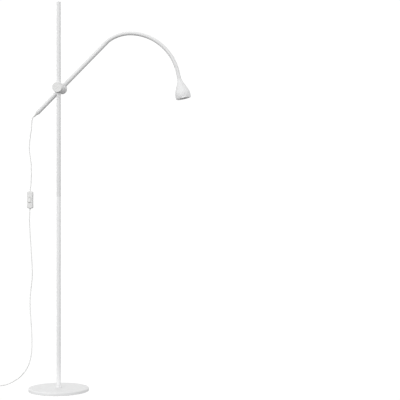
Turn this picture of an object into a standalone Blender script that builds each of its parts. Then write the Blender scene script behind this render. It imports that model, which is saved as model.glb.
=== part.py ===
"""Floor lamp with a clamp that slides on a slim pole, a tilting arm, a gooseneck and a small bell-shaped head.

Metres, +Z up. The origin is on the pole's axis, at the underside of the base. +X is the way the arm reaches,
and the clamp's knob faces -Y.
"""

import math

import bmesh
import bpy
from mathutils import Matrix, Vector

# ---------------------------------------------------------------- driving dimensions
GAP = 0.0003  # between pieces that touch

# base
BASE_R = 0.115
BASE_T = 0.0135
BASE_RIM_R = 0.005
COVER_WALL = 0.0015
PAD_T = 0.0018
BOLT_R = 0.0047
BOLT_CLEARANCE = 0.0004
BOLT_HEAD_R = 0.0080
BOLT_HEAD_T = 0.0030
WASHER_R = 0.0120
WASHER_T = 0.0012
FOOT_COLLAR_R = 0.0125
FOOT_COLLAR_H = 0.0060

# pole
POLE_R = 0.0080
POLE_WALL = 0.0012
POLE_TOP = 1.4865
POLE_SPLIT = 0.7450
PLUG_LENGTH = 0.036
STUD_LENGTH = 0.060
CAP_DOME_H = 0.0035
CAP_SPIGOT_H = 0.010
TUBE_FIT = 0.0003  # radial play of a plug in a tube

# clamp on the pole
JOINT_Z = 1.160
BUSH_WALL = 0.0019
BUSH_H = 0.034
RUNNING_FIT = 0.0003  # radial play of the bush, the spigot and the screw
BARREL_R = 0.02075
CLAMP_NOSE_R = 0.0192
CLAMP_NOSE_TAPER = 0.0055
CLAMP_FRONT_WALL = 0.0055
CLAMP_REAR_WALL = 0.0030
SPIGOT_R = 0.0127
SPIGOT_L = 0.0078
GROOVE_DEPTH = 0.0015
GROOVE_W = 0.0025
RING_R = 0.0190
RING_T = 0.0007
SET_SCREW_R = 0.0015

# knob and its screw
KNOB_R = 0.0190
KNOB_T = 0.0076
KNOB_EDGE = 0.0012
THRUST_R = 0.0130
THRUST_T = 0.0008
SCREW_R = 0.0040
INSERT_R = 0.0060
CLAMP_PAD_R = 0.0057
CLAMP_PAD_T = 0.0020
SCREW_TRAVEL = 0.00095  # of the knob, the screw and the pad, in three quarters of a turn

# arm and its holder
ARM_R = 0.0080
ARM_WALL = 0.0012
ARM_Y = 0.0350
ARM_RISE = math.radians(44.3)
ARM_REAR = 0.1297  # tail end, from the tilt axis
ARM_FRONT = 0.2470  # ferrule end, from the tilt axis
HOLDER_BACK_Y = 0.0470
HOLDER_CAP_R = 0.0160
HOLDER_CAP_T = 0.0009
HOLDER_RECESS = 0.0012
ARM_SCREW_R = 0.0020
FERRULE_L = 0.0066
FERRULE_SPIGOT = 0.012
GLAND_T = 0.0023
RELIEF_L = 0.0200
RELIEF_R = 0.0054
RELIEF_TIP_R = 0.0034

# gooseneck
NECK_R = 0.00725
NECK_LINKS = 8
NECK_GAP = 0.0018
NECK_CHAMFER = 0.0030
NECK_END_R = 0.0042
NECK_START = 0.2555  # from the tilt axis, along the arm
NECK_RISE = math.radians(36.6)
NECK_FIRST_R = 0.1454
NECK_FIRST_TURN = math.radians(40.9)
NECK_SECOND_R = 0.1957
NECK_FALL = math.radians(79.5)

# head
HEAD_LEAN = math.radians(12.9)  # of its axis, from vertical
COLLAR_L = 0.0155
COLLAR_R = 0.0076
SHADE_L = 0.0750
SHADE_TOP_R = 0.0078
SHADE_WIDE_R = 0.0292
SHADE_WIDE_AT = 0.0160  # above the mouth
SHADE_MOUTH_R = 0.0270
SHADE_WALL = 0.0013
LENS_SET_BACK = 0.0030
LENS_T = 0.0025
LENS_RING_W = 0.0018
LENS_RING_H = 0.0050
BOARD_ABOVE = 0.0120
BOARD_T = 0.0016
BOARD_R = 0.0225
LED_R = 0.0100
LED_T = 0.0010
SINK_L = 0.0200
SINK_R = 0.0190
SINK_TOP_R = 0.0120
SINK_FINS = 4

# cord, switch and plug
CORD_R = 0.00225
LEAD_R = 0.0020
SWITCH_X = -0.1243
SWITCH_W = 0.0220
SWITCH_H = 0.0660
SWITCH_D = 0.0190
SWITCH_Z = 0.7310
SWITCH_CORNER_R = 0.0055
SWITCH_WAIST = 0.0008
ROCKER_W = 0.0090
ROCKER_L = 0.0200
ROCKER_PLAY = 0.0007
ROCKER_TILT = math.radians(6.0)
SWITCH_SCREW_R = 0.0012
SWITCH_SCREW_Z = 0.0245  # either side of the switch's middle
COIL_X = -0.3000
COIL_Y = 0.0315
COIL_LIFT = 0.0013
COIL_INNER_R = 0.0192
COIL_TURNS_ACROSS = 3
COIL_LAYERS = 2
TIE_W = 0.0080
TIE_T = 0.0008
PLUG_W = 0.0260
PLUG_L = 0.0360
PLUG_T = 0.0136
PLUG_PIN_R = 0.0020
PLUG_PIN_L = 0.0190
PLUG_PIN_SPACING = 0.0190
PLUG_RELIEF_L = 0.0200
PLUG_RELIEF_R = 0.0045
PLUG_FROM_COIL = 0.0450  # from the coil's middle to the tip of the plug's relief

# the hanging cord, as (x, z) in the arm's plane, from the tail to the switch
HANG_UPPER = [(-0.1152, 1.0462), (-0.1174, 1.0370), (-0.1183, 1.0220), (-0.1193, 1.0080), (-0.1220, 0.9880),
              (-0.1247, 0.9690), (-0.1268, 0.9500), (-0.1277, 0.9300)]
HANG_MIDDLE = [(-0.1277, 0.9297), (-0.1264, 0.9120), (-0.1231, 0.8920), (-0.1204, 0.8680), (-0.1195, 0.8480),
               (-0.1197, 0.8200), (-0.1212, 0.7920), (-0.1236, 0.7740), (-0.1243, 0.7643)]
# and from the switch down to the floor and out to the coil, as (x, y, z)
HANG_LOWER = [(-0.1243, 0.0350, 0.6977), (-0.1258, 0.0350, 0.6850), (-0.1270, 0.0350, 0.6500),
              (-0.1247, 0.0350, 0.6030), (-0.1215, 0.0350, 0.5560), (-0.1187, 0.0350, 0.5100),
              (-0.1160, 0.0350, 0.4630), (-0.1157, 0.0350, 0.4380), (-0.1173, 0.0350, 0.4160),
              (-0.1227, 0.0350, 0.3700), (-0.1247, 0.0350, 0.3240), (-0.1222, 0.0350, 0.2780),
              (-0.1187, 0.0350, 0.2310), (-0.1171, 0.0350, 0.1840), (-0.1190, 0.0355, 0.1380),
              (-0.1240, 0.0365, 0.1130), (-0.1322, 0.0380, 0.0900), (-0.1430, 0.0400, 0.0705),
              (-0.1575, 0.0430, 0.0530), (-0.1750, 0.0470, 0.0375), (-0.1950, 0.0515, 0.0245),
              (-0.2160, 0.0560, 0.0140), (-0.2360, 0.0593, 0.0070), (-0.2560, 0.0612, 0.0036),
              (-0.2700, 0.0619, 0.0034), (-0.2825, 0.0620, 0.0037)]

# facets round a turned piece
STEPS_WIDE = 40
STEPS_ROUND = 24
STEPS_SMALL = 12
CORD_SPACING = 0.0125

# ---------------------------------------------------------------- places worked out from them
X_AXIS, Y_AXIS, Z_AXIS = Vector((1, 0, 0)), Vector((0, 1, 0)), Vector((0, 0, 1))
ARM_DIRECTION = Vector((math.cos(ARM_RISE), 0, math.sin(ARM_RISE)))
TILT_AXIS_POINT = Vector((0, ARM_Y, JOINT_Z))
KNOB_AXIS_POINT = Vector((0, 0, JOINT_Z))
BUSH_R = POLE_R + RUNNING_FIT + BUSH_WALL
CLAMP_BORE_R = BUSH_R + RUNNING_FIT
CLAMP_FRONT_Y = -(CLAMP_BORE_R + CLAMP_FRONT_WALL)
SOCKET_FLOOR_Y = CLAMP_BORE_R + CLAMP_REAR_WALL
CLAMP_REAR_Y = SOCKET_FLOOR_Y + SPIGOT_L
HOLDER_FRONT_Y = CLAMP_REAR_Y + 0.0004
THRUST_FRONT_Y = CLAMP_FRONT_Y - GAP - THRUST_T
KNOB_BACK_Y = THRUST_FRONT_Y - GAP
CLAMP_PAD_FRONT_Y = -(BUSH_R + GAP + CLAMP_PAD_T)
RELIEF_TIP = ARM_REAR + GLAND_T + RELIEF_L + 2 * GAP  # from the tilt axis, along the arm
NECK_LENGTH = NECK_FIRST_R * NECK_FIRST_TURN + NECK_SECOND_R * (NECK_RISE - NECK_FIRST_TURN + NECK_FALL)
HEAD_DOWN = Vector((math.sin(HEAD_LEAN), 0, -math.cos(HEAD_LEAN)))
SWITCH_MIDDLE = Vector((SWITCH_X, ARM_Y, SWITCH_Z))
COIL_OUTER_R = COIL_INNER_R + 2 * CORD_R * COIL_TURNS_ACROSS
COIL_TOP = COIL_LIFT + 2 * CORD_R * COIL_LAYERS
PLUG_X = COIL_X - COIL_OUTER_R + CORD_R


def neck_at(distance):
    """(point, direction) of the gooseneck's centreline, a distance along it from the ferrule."""
    first = NECK_FIRST_R * NECK_FIRST_TURN
    turned_by = min(distance, first) / NECK_FIRST_R
    heading = NECK_RISE - turned_by
    start = TILT_AXIS_POINT + NECK_START * ARM_DIRECTION
    x = start.x + NECK_FIRST_R * (math.sin(NECK_RISE) - math.sin(heading))
    z = start.z + NECK_FIRST_R * (math.cos(heading) - math.cos(NECK_RISE))
    if distance > first:
        before = heading
        heading = before - (distance - first) / NECK_SECOND_R
        x += NECK_SECOND_R * (math.sin(before) - math.sin(heading))
        z += NECK_SECOND_R * (math.cos(heading) - math.cos(before))
    return Vector((x, ARM_Y, z)), Vector((math.cos(heading), 0, math.sin(heading)))


NECK_END = neck_at(NECK_LENGTH)[0]
SHADE_TOP = NECK_END + HEAD_DOWN * (COLLAR_L + GAP)
MOUTH = SHADE_TOP + HEAD_DOWN * (GAP + SHADE_L)


# ---------------------------------------------------------------- scene, materials and bodies
def clear_scene():
    for old in list(bpy.data.objects):
        bpy.data.objects.remove(old)


clear_scene()
lamp = bpy.data.collections.new("adjustable_arm_floor_lamp")
cutters = bpy.data.collections.new("cutters")
for made in (lamp, cutters):
    bpy.context.scene.collection.children.link(made)
cutters.hide_render = True

FINISHES = {
    "white_enamel": ((0.86, 0.86, 0.86), 0.38, 0.0),
    "white_plastic": ((0.84, 0.84, 0.83), 0.45, 0.0),
    "white_sleeve": ((0.85, 0.85, 0.85), 0.50, 0.0),
    "white_cord": ((0.82, 0.82, 0.81), 0.42, 0.0),
    "steel": ((0.60, 0.60, 0.62), 0.30, 1.0),
    "cast_iron": ((0.12, 0.12, 0.13), 0.70, 0.6),
    "brass": ((0.78, 0.60, 0.30), 0.30, 1.0),
    "aluminium": ((0.75, 0.76, 0.78), 0.35, 1.0),
    "grey_plastic": ((0.35, 0.35, 0.36), 0.50, 0.0),
    "dark_rubber": ((0.08, 0.08, 0.08), 0.80, 0.0),
    "frosted_lens": ((0.80, 0.80, 0.79), 0.60, 0.0),
    "led_yellow": ((0.85, 0.75, 0.30), 0.50, 0.0),
}


def material_for(node, finish):
    colour, roughness, metallic = FINISHES[finish]
    made = bpy.data.materials.new(node)
    made.use_nodes = True
    shader = made.node_tree.nodes["Principled BSDF"]
    shader.inputs["Base Color"].default_value = (*colour, 1)
    shader.inputs["Roughness"].default_value = roughness
    shader.inputs["Metallic"].default_value = metallic
    made.diffuse_color = (*colour, 1)
    return made


def body(name, origin):
    """An empty on a moving body's joint axis, which its pieces are parented to."""
    empty = bpy.data.objects.new(name, None)
    empty.location = origin
    lamp.objects.link(empty)
    return empty


def put(piece, finish, parent):
    """Gives a finished piece its material and its body, and leaves it where it is."""
    piece.data.materials.clear()
    piece.data.materials.append(material_for(piece.name, finish))
    piece.parent = parent
    piece.matrix_parent_inverse = Matrix.Translation(parent.location).inverted()
    return piece


# ---------------------------------------------------------------- ways of making a piece
def facing(origin, direction):
    """The matrix that puts a shape's own origin at a point, with its Z along a direction."""
    return Matrix.Translation(origin) @ Vector(direction).to_track_quat("Z", "Y").to_matrix().to_4x4()


def turned(name, profile, origin=(0, 0, 0), direction=Z_AXIS, steps=STEPS_ROUND, into=None):
    """A turned shape. The profile is (radius, height) from the top down its outer side, and it is closed unless
    both its ends are on the axis."""
    mesh = bpy.data.meshes.new(name)
    count = len(profile)
    edges = [(i, i + 1) for i in range(count - 1)]
    if profile[0][0] > 0:
        edges.append((count - 1, 0))
    mesh.from_pydata([(radius, 0, height) for radius, height in profile], edges, [])
    piece = bpy.data.objects.new(name, mesh)
    (into or lamp).objects.link(piece)
    piece.matrix_world = facing(origin, direction)
    screw = piece.modifiers.new("turn", "SCREW")
    screw.steps = screw.render_steps = steps
    screw.use_merge_vertices = True
    screw.merge_threshold = 1e-5
    return piece


def cylinder_profile(radius, bottom, top, chamfer=0.0):
    if chamfer:
        return [(0, top), (radius - chamfer, top), (radius, top - chamfer),
                (radius, bottom + chamfer), (radius - chamfer, bottom), (0, bottom)]
    return [(0, top), (radius, top), (radius, bottom), (0, bottom)]


def ring_profile(inner, outer, bottom, top):
    return [(inner, top), (outer, top), (outer, bottom), (inner, bottom)]


def as_mesh(piece):
    """A curve made a mesh, with its caps welded."""
    bpy.context.view_layer.update()
    evaluated = piece.evaluated_get(bpy.context.evaluated_depsgraph_get())
    mesh = bpy.data.meshes.new_from_object(evaluated)
    shape = bmesh.new()
    shape.from_mesh(mesh)
    bmesh.ops.remove_doubles(shape, verts=shape.verts, dist=1e-6)
    shape.to_mesh(mesh)
    shape.free()
    name, place, into = piece.name, piece.matrix_world.copy(), piece.users_collection[0]
    bpy.data.objects.remove(piece)
    mesh_piece = bpy.data.objects.new(name, mesh)
    mesh_piece.matrix_world = place
    into.objects.link(mesh_piece)
    return mesh_piece


def tube(name, points, radius, sides=3, ends=()):
    """A round tube along points. ends are the radii of its first and last points, as shares of the radius."""
    curve = bpy.data.curves.new(name, "CURVE")
    curve.dimensions = "3D"
    curve.bevel_depth = radius
    curve.bevel_resolution = sides
    curve.use_fill_caps = True
    spline = curve.splines.new("POLY")
    spline.points.add(len(points) - 1)
    for point, place in zip(spline.points, points):
        point.co = (*place, 1)
    for index, share in zip((0, -1), ends):
        spline.points[index].radius = share
    piece = bpy.data.objects.new(name, curve)
    lamp.objects.link(piece)
    return piece


def plate(name, outline, thickness, origin, direction, into=None):
    """A flat outline, made solid half its thickness to each side of its origin."""
    curve = bpy.data.curves.new(name, "CURVE")
    curve.dimensions = "2D"
    curve.fill_mode = "BOTH"
    curve.extrude = thickness / 2
    spline = curve.splines.new("POLY")
    spline.points.add(len(outline) - 1)
    for point, (x, y) in zip(spline.points, outline):
        point.co = (x, y, 0, 1)
    spline.use_cyclic_u = True
    piece = bpy.data.objects.new(name, curve)
    (into or lamp).objects.link(piece)
    piece.matrix_world = Matrix.Translation(origin) @ direction
    return as_mesh(piece)


def block(name, size, origin, bevel=0.0, into=None):
    bpy.ops.mesh.primitive_cube_add(size=1)
    piece = bpy.context.object
    piece.name = piece.data.name = name
    for old in list(piece.users_collection):
        old.objects.unlink(piece)
    (into or lamp).objects.link(piece)
    piece.data.transform(Matrix.Diagonal((*size, 1)))
    piece.location = origin
    if bevel:
        rounding = piece.modifiers.new("round", "BEVEL")
        rounding.width = bevel
        rounding.segments = 2
    return piece


def cut(piece, cutter):
    """Takes the cutter's shape out of the piece."""
    cutter.hide_render = True
    cutter.display_type = "WIRE"
    difference = piece.modifiers.new("cut " + cutter.name, "BOOLEAN")
    difference.operation = "DIFFERENCE"
    difference.solver = "EXACT"
    difference.object = cutter


def drill(piece, name, radius, start, end, steps=STEPS_ROUND):
    """A round hole through the piece, from one point to another."""
    start, end = Vector(start), Vector(end)
    profile = cylinder_profile(radius, 0, (end - start).length)
    cut(piece, turned(name, profile, start, end - start, steps, cutters))


def smooth_route(points, spacing):
    """Evenly spaced points on one smooth curve through the given ones."""
    knots = [Vector(p) for p in points]
    knots = [2 * knots[0] - knots[1], *knots, 2 * knots[-1] - knots[-2]]
    fine = []
    for a, b, c, d in zip(knots, knots[1:], knots[2:], knots[3:]):
        for step in range(16):
            t = step / 16
            fine.append(0.5 * (2 * b + (c - a) * t + (2 * a - 5 * b + 4 * c - d) * t * t
                               + (3 * b - a - 3 * c + d) * t ** 3))
    fine.append(knots[-2])
    lengths = [0.0]
    for a, b in zip(fine, fine[1:]):
        lengths.append(lengths[-1] + (b - a).length)
    count = max(2, round(lengths[-1] / spacing))
    route, at = [], 0
    for index in range(count + 1):
        want = lengths[-1] * index / count
        while at < len(fine) - 2 and lengths[at + 1] < want:
            at += 1
        share = (want - lengths[at]) / (lengths[at + 1] - lengths[at])
        route.append(fine[at].lerp(fine[at + 1], share))
    return route


# ---------------------------------------------------------------- base and pole
stand = body("stand", (0, 0, 0))
bolt_hole_r = BOLT_R + BOLT_CLEARANCE
weight_bottom = PAD_T + GAP
weight_top = BASE_T - COVER_WALL - GAP
counterbore = weight_bottom + BOLT_HEAD_T + WASHER_T + 3 * GAP
foot_z = BASE_T + GAP


def make_base():
    rim = [(BASE_R - BASE_RIM_R + BASE_RIM_R * math.sin(a), BASE_T - BASE_RIM_R + BASE_RIM_R * math.cos(a))
           for a in (math.radians(18 * i) for i in range(6))]
    inner_r = BASE_RIM_R - COVER_WALL
    inner = [(x - COVER_WALL * math.sin(a), z - COVER_WALL * math.cos(a))
             for (x, z), a in zip(rim, (math.radians(18 * i) for i in range(6)))]
    cover = [(bolt_hole_r, BASE_T), *rim, (BASE_R, PAD_T / 2), (BASE_R - COVER_WALL, PAD_T / 2),
             *reversed(inner), (bolt_hole_r, BASE_T - COVER_WALL)]
    put(turned("base_cover", cover, steps=STEPS_WIDE), "white_enamel", stand)
    weight_r = BASE_R - COVER_WALL - 3 * GAP
    weight = [(bolt_hole_r, weight_top), (weight_r - inner_r, weight_top), (weight_r, weight_top - inner_r),
              (weight_r, weight_bottom), (WASHER_R + GAP, weight_bottom), (WASHER_R + GAP, counterbore),
              (bolt_hole_r, counterbore)]
    put(turned("base_weight", weight, steps=STEPS_WIDE), "cast_iron", stand)
    pad_r = weight_r - 2 * GAP
    put(turned("base_pad", cylinder_profile(pad_r, 0, PAD_T), steps=STEPS_WIDE), "dark_rubber", stand)
    head_top = weight_bottom + BOLT_HEAD_T
    bolt_end = foot_z + PLUG_LENGTH - 0.004
    bolt = [(0, bolt_end), (BOLT_R, bolt_end), (BOLT_R, head_top), (BOLT_HEAD_R, head_top),
            (BOLT_HEAD_R, weight_bottom), (0, weight_bottom)]
    put(turned("base_bolt", bolt, steps=STEPS_SMALL), "steel", stand)
    washer = ring_profile(BOLT_R + GAP, WASHER_R, head_top + GAP, head_top + GAP + WASHER_T)
    put(turned("base_washer", washer), "steel", stand)
    collar = [(POLE_R + TUBE_FIT, foot_z + FOOT_COLLAR_H), (POLE_R + 2 * TUBE_FIT, foot_z + FOOT_COLLAR_H),
              (POLE_R + 0.0018, foot_z + FOOT_COLLAR_H / 3), (FOOT_COLLAR_R, foot_z + 0.0006),
              (FOOT_COLLAR_R, foot_z), (POLE_R + TUBE_FIT, foot_z)]
    put(turned("pole_foot_collar", collar), "white_enamel", stand)


def make_pole():
    bore_r = POLE_R - POLE_WALL
    plug_r = bore_r - TUBE_FIT
    lower = ring_profile(bore_r, POLE_R, foot_z, POLE_SPLIT)
    upper = ring_profile(bore_r, POLE_R, POLE_SPLIT + GAP, POLE_TOP)
    put(turned("pole_lower_tube", lower), "white_enamel", stand)
    put(turned("pole_upper_tube", upper), "white_enamel", stand)
    plug = ring_profile(BOLT_R + GAP, plug_r, foot_z, foot_z + PLUG_LENGTH)
    put(turned("pole_foot_plug", plug), "steel", stand)
    stud = cylinder_profile(plug_r, POLE_SPLIT - STUD_LENGTH / 2, POLE_SPLIT + STUD_LENGTH / 2, 0.001)
    put(turned("pole_joint_stud", stud), "steel", stand)
    seat = POLE_TOP + GAP
    cap = [(0, seat + CAP_DOME_H), (POLE_R * 0.5, seat + CAP_DOME_H * 0.88), (POLE_R * 0.85, seat + CAP_DOME_H * 0.5),
           (POLE_R, seat + CAP_DOME_H * 0.12), (POLE_R, seat), (plug_r, seat), (plug_r, POLE_TOP - CAP_SPIGOT_H),
           (0, POLE_TOP - CAP_SPIGOT_H)]
    put(turned("pole_top_cap", cap), "white_plastic", stand)


# ---------------------------------------------------------------- clamp, knob and pad
carriage = body("carriage", KNOB_AXIS_POINT)
clamp = body("clamp", KNOB_AXIS_POINT)
pad = body("pad", KNOB_AXIS_POINT)
knob = body("knob", KNOB_AXIS_POINT)


def around_knob(name, profile, finish, parent, steps=STEPS_ROUND):
    """A piece turned about the knob's axis. The profile's heights are places along +Y."""
    return put(turned(name, profile, KNOB_AXIS_POINT, Y_AXIS, steps), finish, parent)


def make_clamp():
    half = BUSH_H / 2
    bush_profile = ring_profile(POLE_R + RUNNING_FIT, BUSH_R, -half, half)
    bush = put(turned("pole_bush", bush_profile, KNOB_AXIS_POINT), "white_plastic", carriage)
    slit = block("bush_slit", (BUSH_R, 0.0016, BUSH_H * 1.2), KNOB_AXIS_POINT - BUSH_R * X_AXIS, into=cutters)
    cut(bush, slit)

    screw_hole_r = INSERT_R + GAP
    socket_r = SPIGOT_R + RUNNING_FIT
    ring_room = RING_T + GAP
    inside = -(CLAMP_BORE_R ** 2 - screw_hole_r ** 2) ** 0.5 + GAP
    profile = [(0, SOCKET_FLOOR_Y), (socket_r, SOCKET_FLOOR_Y), (socket_r, CLAMP_REAR_Y - ring_room),
               (RING_R + GAP, CLAMP_REAR_Y - ring_room), (RING_R + GAP, CLAMP_REAR_Y), (BARREL_R, CLAMP_REAR_Y),
               (BARREL_R, CLAMP_FRONT_Y + CLAMP_NOSE_TAPER), (CLAMP_NOSE_R, CLAMP_FRONT_Y),
               (screw_hole_r, CLAMP_FRONT_Y), (screw_hole_r, inside), (0, inside)]
    housing = around_knob("clamp_body", profile, "white_enamel", clamp, STEPS_WIDE)
    drill(housing, "pole_bore", CLAMP_BORE_R, KNOB_AXIS_POINT - 1.5 * BARREL_R * Z_AXIS,
          KNOB_AXIS_POINT + 1.5 * BARREL_R * Z_AXIS)

    groove_y = SOCKET_FLOOR_Y + SPIGOT_L / 2
    for side, letter in ((1, "a"), (-1, "b")):
        outward = Vector((side * 0.5, 0, -(0.75 ** 0.5)))
        middle = KNOB_AXIS_POINT + groove_y * Y_AXIS
        drill(housing, "set_screw_hole_" + letter, SET_SCREW_R + GAP, middle + (SPIGOT_R - 0.001) * outward,
              middle + (BARREL_R + 0.002) * outward, STEPS_SMALL)
        profile = cylinder_profile(SET_SCREW_R, SPIGOT_R - GROOVE_DEPTH + GAP, BARREL_R - 0.0010)
        screw = turned("tilt_screw_" + letter, profile, middle, outward, STEPS_SMALL)
        put(screw, "steel", clamp)

    insert_rear = CLAMP_PAD_FRONT_Y - GAP - SCREW_TRAVEL
    insert = ring_profile(SCREW_R + RUNNING_FIT, INSERT_R, CLAMP_FRONT_Y + GAP, insert_rear)
    around_knob("clamp_insert", insert, "brass", clamp)
    ring = ring_profile(socket_r, RING_R, CLAMP_REAR_Y - RING_T, CLAMP_REAR_Y)
    around_knob("friction_ring", ring, "grey_plastic", clamp)


def make_knob():
    shoe_profile = cylinder_profile(CLAMP_PAD_R, CLAMP_PAD_FRONT_Y, -(CLAMP_BORE_R - 0.0022))
    shoe = around_knob("clamp_pad", shoe_profile, "grey_plastic", pad)
    drill(shoe, "pad_hollow", BUSH_R + GAP, KNOB_AXIS_POINT - 0.02 * Z_AXIS, KNOB_AXIS_POINT + 0.02 * Z_AXIS)
    washer = ring_profile(SCREW_R + RUNNING_FIT, THRUST_R, THRUST_FRONT_Y, THRUST_FRONT_Y + THRUST_T)
    around_knob("thrust_washer", washer, "grey_plastic", pad)

    front = KNOB_BACK_Y - KNOB_T
    hole_end = KNOB_BACK_Y - KNOB_T * 0.65
    hole_r = SCREW_R + GAP
    disc = [(0, hole_end), (hole_r, hole_end), (hole_r, KNOB_BACK_Y), (KNOB_R - KNOB_EDGE / 2, KNOB_BACK_Y),
            (KNOB_R, KNOB_BACK_Y - KNOB_EDGE / 2), (KNOB_R, front + KNOB_EDGE),
            (KNOB_R - KNOB_EDGE * 0.3, front + KNOB_EDGE * 0.3), (KNOB_R - KNOB_EDGE, front), (0, front)]
    around_knob("knob_disc", disc, "white_plastic", knob, STEPS_WIDE)
    shaft = cylinder_profile(SCREW_R, hole_end + GAP, CLAMP_PAD_FRONT_Y - GAP, 0.0005)
    around_knob("knob_screw", shaft, "steel", knob)


# ---------------------------------------------------------------- arm
arm = body("arm", TILT_AXIS_POINT)


def along_arm(name, profile, finish, steps=STEPS_ROUND):
    """A piece turned about the arm's axis. The profile's heights are distances from the tilt axis."""
    return put(turned(name, profile, TILT_AXIS_POINT, ARM_DIRECTION, steps), finish, arm)


def make_arm():
    spigot_y = SOCKET_FLOOR_Y + GAP
    groove_y = SOCKET_FLOOR_Y + SPIGOT_L / 2
    groove = [(SPIGOT_R, groove_y + GROOVE_W), (SPIGOT_R - GROOVE_DEPTH, groove_y + GROOVE_W),
              (SPIGOT_R - GROOVE_DEPTH, groove_y - GROOVE_W), (SPIGOT_R, groove_y - GROOVE_W)]
    recess_y = HOLDER_BACK_Y - HOLDER_RECESS
    edge = 0.0010
    profile = [(0, recess_y), (HOLDER_CAP_R + GAP, recess_y), (HOLDER_CAP_R + GAP, HOLDER_BACK_Y),
               (BARREL_R - edge, HOLDER_BACK_Y), (BARREL_R, HOLDER_BACK_Y - edge), (BARREL_R, HOLDER_FRONT_Y),
               (SPIGOT_R, HOLDER_FRONT_Y), *groove, (SPIGOT_R, spigot_y), (0, spigot_y)]
    holder = around_knob("arm_holder", profile, "white_enamel", arm, STEPS_WIDE)
    reach = 1.5 * BARREL_R * ARM_DIRECTION
    drill(holder, "arm_bore", ARM_R + TUBE_FIT, TILT_AXIS_POINT - reach, TILT_AXIS_POINT + reach)
    screw_front = ARM_Y + ARM_R + GAP
    drill(holder, "arm_screw_hole", ARM_SCREW_R + GAP, (0, ARM_Y + ARM_R - 0.002, JOINT_Z),
          (0, HOLDER_BACK_Y + 0.002, JOINT_Z), STEPS_SMALL)
    screw = cylinder_profile(ARM_SCREW_R, screw_front, recess_y - GAP)
    around_knob("arm_screw", screw, "steel", arm, STEPS_SMALL)
    cap_back = recess_y + GAP + HOLDER_CAP_T
    cap = [(0, cap_back), (HOLDER_CAP_R - 0.0004, cap_back), (HOLDER_CAP_R, cap_back - 0.0004),
           (HOLDER_CAP_R, recess_y + GAP), (0, recess_y + GAP)]
    around_knob("holder_cap", cap, "white_plastic", arm, STEPS_WIDE)

    bore_r = ARM_R - ARM_WALL
    plug_r = bore_r - TUBE_FIT
    along_arm("arm_tube", ring_profile(bore_r, ARM_R, -ARM_REAR, ARM_FRONT), "white_enamel")
    seat = ARM_FRONT + GAP
    end = seat + FERRULE_L
    ferrule = [(0, end), (NECK_END_R, end), (ARM_R - 0.0006, end - 0.0020), (ARM_R, end - 0.0030), (ARM_R, seat),
               (plug_r, seat), (plug_r, seat - FERRULE_SPIGOT), (0, seat - FERRULE_SPIGOT)]
    along_arm("neck_ferrule", ferrule, "white_enamel")
    tail = -(ARM_REAR + GAP)
    gland = [(0, tail + 0.010), (plug_r, tail + 0.010), (plug_r, tail), (ARM_R, tail),
             (ARM_R, tail - GLAND_T + 0.0008), (ARM_R - 0.0008, tail - GLAND_T), (0, tail - GLAND_T)]
    along_arm("tail_gland", gland, "white_plastic")
    start = tail - GLAND_T - GAP
    relief = [(0, start), (RELIEF_R, start), (RELIEF_R, start - 0.0040), (RELIEF_R * 0.93, start - 0.0050),
              (RELIEF_TIP_R, start - RELIEF_L + 0.0005), (RELIEF_TIP_R - 0.0004, start - RELIEF_L),
              (0, start - RELIEF_L)]
    along_arm("strain_relief", relief, "white_cord", STEPS_ROUND)
    lead_ends = (-(ARM_REAR - 0.0105), ARM_FRONT - FERRULE_SPIGOT - 0.001)
    lead = tube("arm_lead", [TILT_AXIS_POINT + s * ARM_DIRECTION for s in lead_ends], LEAD_R, 2)
    put(lead, "white_cord", arm)


# ---------------------------------------------------------------- gooseneck and head
def make_neck():
    """The gooseneck's links, each on the joint at its own start. Its last link carries the head."""
    length = NECK_LENGTH / NECK_LINKS
    bodies = []
    for index in range(NECK_LINKS):
        last = index == NECK_LINKS - 1
        pivot = neck_at(index * length)[0]
        bodies.append(body("head" if last else f"neck_{index + 1}", pivot))
        start = index * length + NECK_GAP / 2
        end = (index + 1) * length - (GAP if last else NECK_GAP / 2)
        inner = [start + NECK_CHAMFER + (end - start - 2 * NECK_CHAMFER) * i / 4 for i in range(5)]
        points = [neck_at(s)[0] for s in (start, *inner, end)]
        share = NECK_END_R / NECK_R
        link = tube(f"neck_link_{index + 1}", points, NECK_R, 4, (share, share))
        put(link, "white_sleeve", bodies[-1])
    return bodies[-1]


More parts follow.
